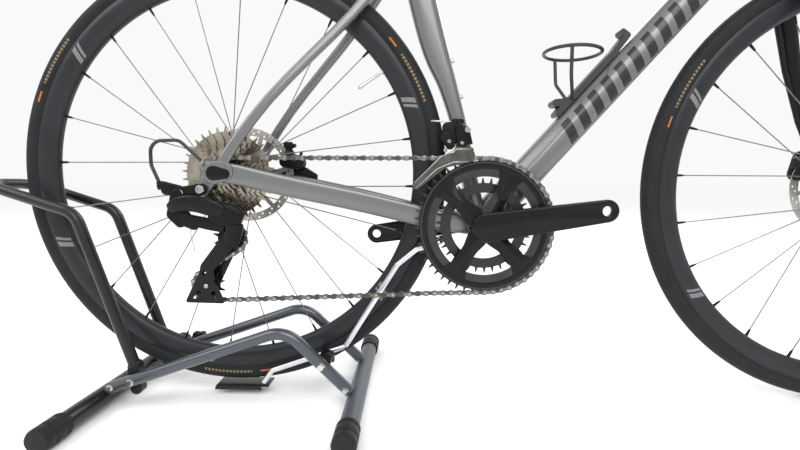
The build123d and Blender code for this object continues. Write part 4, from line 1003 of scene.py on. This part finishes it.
class BIKE_OT_brakes(bpy.types.Operator):
    """Flat-mount brake calipers on the left stay and fork leg."""

    bl_idname = "bike.brakes"
    bl_label = "Brakes"

    def execute(self, context):
        gloss = gloss_black(context, "caliper_gloss", 0.28)
        steel = speckled("caliper_bolt_steel", (0.4, 0.4, 0.38), (0.6, 0.6, 0.57), 60, 0.3, 0.15, metallic=1.0)
        for name, node, centre, body, place, rotor_y in (
                ("rear_caliper", "rear_brake_caliper", (78, 30), "bike", BIKE, 55.5),
                ("front_caliper", "front_brake_caliper", (-66, 34), "steering",
                 BIKE @ Matrix.Translation((WHEELBASE, 0, 0)), 38.0)):
            x, z = centre
            bm = bmesh.new()
            spread = [(x - 10, z - 6, 11), (x + 10, z - 8, 12)] if body == "bike" else [(x - 1, z - 13, 12),
                                                                                        (x + 5, z + 13, 12)]
            for low, high in ((rotor_y - 10.5, rotor_y - 2.3), (rotor_y + 2.3, rotor_y + 11.5)):
                slab(bm, spread, low, high, 2.6)
            bridge = [(x + 4, z + 2, 5), (x + 14, z - 2, 5)] if body == "bike" else [(x - 7, z - 2, 4.6),
                                                                                     (x - 5, z + 10, 4.6)]
            slab(bm, bridge, rotor_y - 8, rotor_y + 9, 1.5)
            feet = [[(58, 4), (120, -6), (120, 3), (100, 15), (58, 14)]] if body == "bike" else [hull_outline([(x + 8,
                                                                                                                z - 16,
                                                                                                                6),
                                                                                                               (x + 14,
                                                                                                                z + 20,
                                                                                                                6)])]
            plate(bm, feet, rotor_y + 2.6, rotor_y + 11.4, 1.5)
            finish_mesh(name, bm, gloss, [node], crease=35, body=body, place=place)
            if body == "bike":
                shaft(bm, (72, rotor_y + 4, 34), (69, rotor_y + 4, 57),
                      [(0, 10), (0.3, 9), (0.42, 6.4), (0.6, 6.4), (0.62, 8.4), (0.96, 8.4), (1, 7.2)], 24)
                shaft(bm, (70, rotor_y + 4, 50), (83, rotor_y + 4, 52), [(0, 4.6), (0.6, 4.6), (0.62, 3.6), (1, 3.2)],
                      16)
                shaft(bm, (88, rotor_y + 4, 28), (93, rotor_y + 4, 41), [(0, 5), (0.4, 4), (0.5, 2.6), (1, 2.4)], 14)
                finish_mesh("hose_port", bm, gloss, crease=40, body=body, place=place)
            bolt(bm, spread[0][0], spread[0][1], rotor_y + 11.3, 1, 4.4, 1.2, 1.8)
            bolt(bm, spread[1][0], spread[1][1], rotor_y + 11.3, 1, 4.4, 1.2, 1.8)
            finish_mesh(name + "_bolts", bm, steel, crease=35, body=body, place=place)
        return {"FINISHED"}


class BIKE_OT_cockpit(bpy.types.Operator):
    """Fork, stem, drop bar with wound tape, hoods and both pairs of levers."""

    bl_idname = "bike.cockpit"
    bl_label = "Fork and cockpit"

    def execute(self, context):
        settings = context.scene.bike_cockpit
        gloss = gloss_black(context, "fork_gloss", 0.22)
        satin = satin_black("stem_satin")
        tape = tape_finish("wound_tape")
        rubber = speckled("hood_rubber", (0.014, 0.014, 0.014), (0.03, 0.03, 0.03), 40, 0.6, 0.2, 0.4, 0.0005)

        bm = bmesh.new()

        def on_head(d, y=0.0):
            return (HEAD_LOW[0] + HEAD_WAY[0] * d, y, HEAD_LOW[1] + HEAD_WAY[1] * d)
        shaft(bm, on_head(-6), on_head(211), 14.2, 32)
        crown = [(*on_head(-27), 58, 30), (*on_head(-18), 61, 37), (*on_head(-8), 57, 43), (*on_head(-1), 51, 46)]
        lofted(bm, crown, 2.5, 28)
        leg = [(838, 21, 332, 16, 38), (848, 27, 306, 16, 37), (866, 34, 262, 14.4, 34), (892, 44, 190, 12.6, 30),
               (926, 53, 110, 11.6, 25),
               (958, 56, 46, 10.6, 22), (981, 56, 5, 9.4, 21)]
        for points in (leg, mirrored(leg)):
            lofted(bm, points, 2.4)
        for low, high in ((50.4, 60.6), (-60.6, -50.4)):
            plate(bm, [circle(WHEELBASE, 0, 13.6, 32)], low, high, 1.6)
        finish_mesh("fork_shell", bm, gloss, ["fork"], crease=40, body="steering")
        shaft(bm, (WHEELBASE, -61, 0), (WHEELBASE, 61, 0), 6, 24)
        bolt(bm, WHEELBASE, 0, -62, -1, 8.3, 3.4, 3.0)
        finish_mesh("front_axle_bolt", bm, satin, ["front_thru_axle"], crease=40, body="steering")

        shaft(bm, on_head(150.2), on_head(171), [(0, 20), (0.3, 18), (0.62, 17.8), (0.62, 17.2), (0.66, 17.2),
                                                 (0.66, 17.8), (1, 17.8)], 36)
        shaft(bm, on_head(171.4), on_head(211), [(0, 17.2), (0.04, 18.3), (0.95, 18.3), (1, 17.4)], 36)
        lofted(bm, [(782, 0, 531, 32, 36), (800, 0, 531, 31, 34), (840, 0, 530.6, 32, 33), (864, 0, 530.2, 40, 36)],
               3.2)
        turned(bm, [(15.95, -21), (19.8, -21), (20.8, -20), (20.8, 20), (19.8, 21), (15.95, 21)], BAR_TOP, 48)
        shaft(bm, on_head(211), on_head(214.8), [(0, 16.2), (0.7, 16.2), (1, 14.6)], 32)
        for z in (519, 541):
            for y in (-14, 14):
                shaft(bm, (893, y, z), (899.5, y, z), [(0, 3.6), (0.9, 3.6), (1, 3.0)], 14)
        finish_mesh("forged_stem", bm, satin, ["stem"], crease=40, body="steering")

        bar_satin = satin_black("bar_satin")
        dress("handlebar", bar_satin)
        for sign in (-1, 1):
            line = [(860, sign * 215, 403), (965, sign * 212, 442), (953, sign * 210, 532), (878, sign * 206, 530),
                    (878, sign * 76, 530)]
            path = rounded_path(line, 30, 6)

            def wound(distance, turn):
                return 14.55 + settings.tape_step * 1.6 * ((distance / settings.tape_pitch + turn) % 1.0)
            swept(bm, path, wound, 28, 2.6)
            end = Vector(path[0])
            back = (Vector(path[0]) - Vector(path[1])).normalized()
            shaft(bm, end, end + back * 4, [(0, 14), (0.4, 14), (1, 11)], 24)
        finish_mesh("wound_bar_tape", bm, tape, ["bar_tape"], crease=60, body="steering")

        for sign in (-1, 1):
            y = sign * HOOD_Y
            hood = [(-3, y, 4, 29, 30), (8, y, 3, 30.5, 36), (24, y, 4, 29, 37), (42, y, 14, 28, 40),
                    (56, y, 28, 27, 44), (66, y, 41, 25, 36), (71, y, 48, 19, 22)]
            lofted(bm, hood, 2.6, 24)
        finish_mesh("moulded_hoods", bm, rubber, ["lever_hoods"], 1, body="steering", place=HOOD)
        for tag, sign in (("right", -1), ("left", 1)):
            y = sign * HOOD_Y
            blade = [(66, y, 30, 15, 14), (72, y, 14, 15, 15), (76.5, y, -6, 14.5, 12), (78.5, y, -34, 14, 9.5),
                     (75, y, -62, 13.6, 8.5), (68.5, y, -86, 12.4, 8), (67, y, -91, 9, 5)]
            lofted(bm, blade, 2.8)
            finish_mesh("brake_blade_" + tag, bm, gloss, ["brake_lever_" + tag], 1,
                        body="brake_lever_" + tag, place=HOOD)
            flick = y - sign * 14
            low, high = flick - 1.9, flick + 1.9
            slab(bm, [(66, -20, 5), (63, -43, 10.6), (57, -60, 6)], low, high, 1.4)
            slab(bm, [(68.5, -14, 4), (66, -22, 5)], low, high, 1.0)
            shaft(bm, (70.2, y - sign * 10.2, -28), (67.8, y - sign * 10.2, -8),
                  [(0, 1.6), (0.04, 2.3), (0.96, 2.3), (1, 1.6)], 16)
            finish_mesh("shift_paddle_" + tag, bm, satin, ["shift_lever_" + tag], crease=40,
                        body="shift_lever_" + tag, place=HOOD)
        return {"FINISHED"}


class BIKE_OT_saddle(bpy.types.Operator):
    """Padded saddle on its shell and rails, with the seatpost."""

    bl_idname = "bike.saddle"
    bl_label = "Saddle"

    def execute(self, context):
        cover = Finish("saddle_cover", 0.5, specular=0.45)
        pebble = cover.cells(420)
        wear = cover.noise(9, 4.0)
        cover.set("Base Color", wear.mix((0.012, 0.012, 0.012), (0.035, 0.034, 0.033)))
        cover.set("Roughness", wear * 0.22 + 0.38)
        cover.bump(pebble * 0.7 + wear * 0.6, 0.35, 0.0006)
        plastic = satin_black("saddle_shell_plastic")
        sx = SEAT_TOP[0] + SEAT_WAY[0] * 174 + 10
        bm = bmesh.new()
        rows = []
        stations = [(-131, 96, 17), (-124, 126, 21), (-112, 139, 23.5), (-92, 140, 24), (-66, 124, 23.5),
                    (-36, 98, 22.5), (-6, 74, 21.5),
                    (26, 57, 20.5), (60, 47.5, 20), (94, 41, 19), (118, 35, 17.5), (130, 27, 15), (134, 16, 11)]
        for dx, wide, high in stations:
            rise = 5 * ((dx - 10) / 130) ** 2
            floor = 609.0 + rise
            half = wide / 2
            dip = 3.4 * math.exp(-((dx + 20) / 75) ** 2)
            ring = []
            for u, v in ((-0.9, 0.0), (-1.0, 0.22), (-0.985, 0.5), (-0.86, 0.78), (-0.62, 0.95), (-0.36, 1.0),
                         (-0.16, 1.0), (-0.06, 0.97), (0.06, 0.97),
                         (0.16, 1.0), (0.36, 1.0), (0.62, 0.95), (0.86, 0.78), (0.985, 0.5), (1.0, 0.22), (0.9, 0.0),
                         (0.3, 0.02), (-0.3, 0.02)):
                sink = dip if abs(u) < 0.1 else (dip * 0.4 if abs(u) < 0.2 else 0)
                ring.append(Vector((sx + dx, u * half, min(floor + v * high - sink - 0.2, 631.6))))
            rows.append(ring)
        add_rings(bm, rows)
        padding = finish_mesh("saddle_pad", bm, cover, ["saddle_padding"], 2, body="saddle_post")
        lofted(bm, [(sx + dx, 0, 607.0 + 5 * ((dx - 10) / 130) ** 2, wide * 0.93, 3.6) for dx, wide,
                    _ in stations[1:-1]],
               4)
        lofted(bm, [(sx - 106, 0, 604, 76, 11), (sx - 97, 0, 604, 80, 13), (sx - 88, 0, 604, 76, 9)], 3)
        lofted(bm, [(sx + 97, 0, 603, 26, 9), (sx + 105, 0, 603, 28, 11), (sx + 112, 0, 603, 22, 7)], 3)
        finish_mesh("saddle_base", bm, plastic, ["saddle_shell"], crease=50, body="saddle_post")
        dress("saddle_rails", speckled("rail_steel", (0.3, 0.3, 0.3), (0.5, 0.5, 0.49), 40, 0.3, 0.15, metallic=1.0))
        dress("seatpost", satin_black("seatpost_satin"))
        return {"FINISHED"}


class BIKE_OT_bottle_cage(bpy.types.Operator):
    """Round wire bottle holder with its clip rail."""

    bl_idname = "bike.bottle_cage"
    bl_label = "Bottle cage"

    def execute(self, context):
        dress("bottle_cage", speckled("cage_plastic", (0.01, 0.01, 0.011), (0.024, 0.024, 0.026), 40, 0.4, 0.15, 0.15,
                                      0.0003))
        return {"FINISHED"}


OPERATORS = (BIKE_OT_stage, BIKE_OT_stand, BIKE_OT_frame, BIKE_OT_wheels, BIKE_OT_crankset, BIKE_OT_drivetrain,
             BIKE_OT_brakes,
             BIKE_OT_cockpit, BIKE_OT_saddle, BIKE_OT_bottle_cage)
SETTINGS = {"bike_paint": BikePaintSettings, "bike_wheel": BikeWheelSettings, "bike_cockpit": BikeCockpitSettings,
            "bike_stage": BikeStageSettings}


class BIKE_PT_panel(bpy.types.Panel):
    """Lists the settings and the steps that build the bicycle."""

    bl_idname = "BIKE_PT_panel"
    bl_label = "Bicycle on stand"
    bl_space_type = "VIEW_3D"
    bl_region_type = "UI"
    bl_category = "Bicycle"

    def draw(self, context):
        for key, group in SETTINGS.items():
            for field in group.__annotations__:
                self.layout.prop(getattr(context.scene, key), field)
        for operator in OPERATORS:
            self.layout.operator(operator.bl_idname)


def register():
    for kind in (*SETTINGS.values(), *OPERATORS, BIKE_PT_panel):
        bpy.utils.register_class(kind)
    for key, group in SETTINGS.items():
        setattr(bpy.types.Scene, key, PointerProperty(type=group))


def unregister():
    for key in SETTINGS:
        delattr(bpy.types.Scene, key)
    for kind in (BIKE_PT_panel, *OPERATORS[::-1], *list(SETTINGS.values())[::-1]):
        bpy.utils.unregister_class(kind)


def main():
    """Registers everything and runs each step."""
    register()
    for operator in OPERATORS:
        group, name = operator.bl_idname.split(".")
        getattr(getattr(bpy.ops, group), name)()


if __name__ == "__main__":
    main()
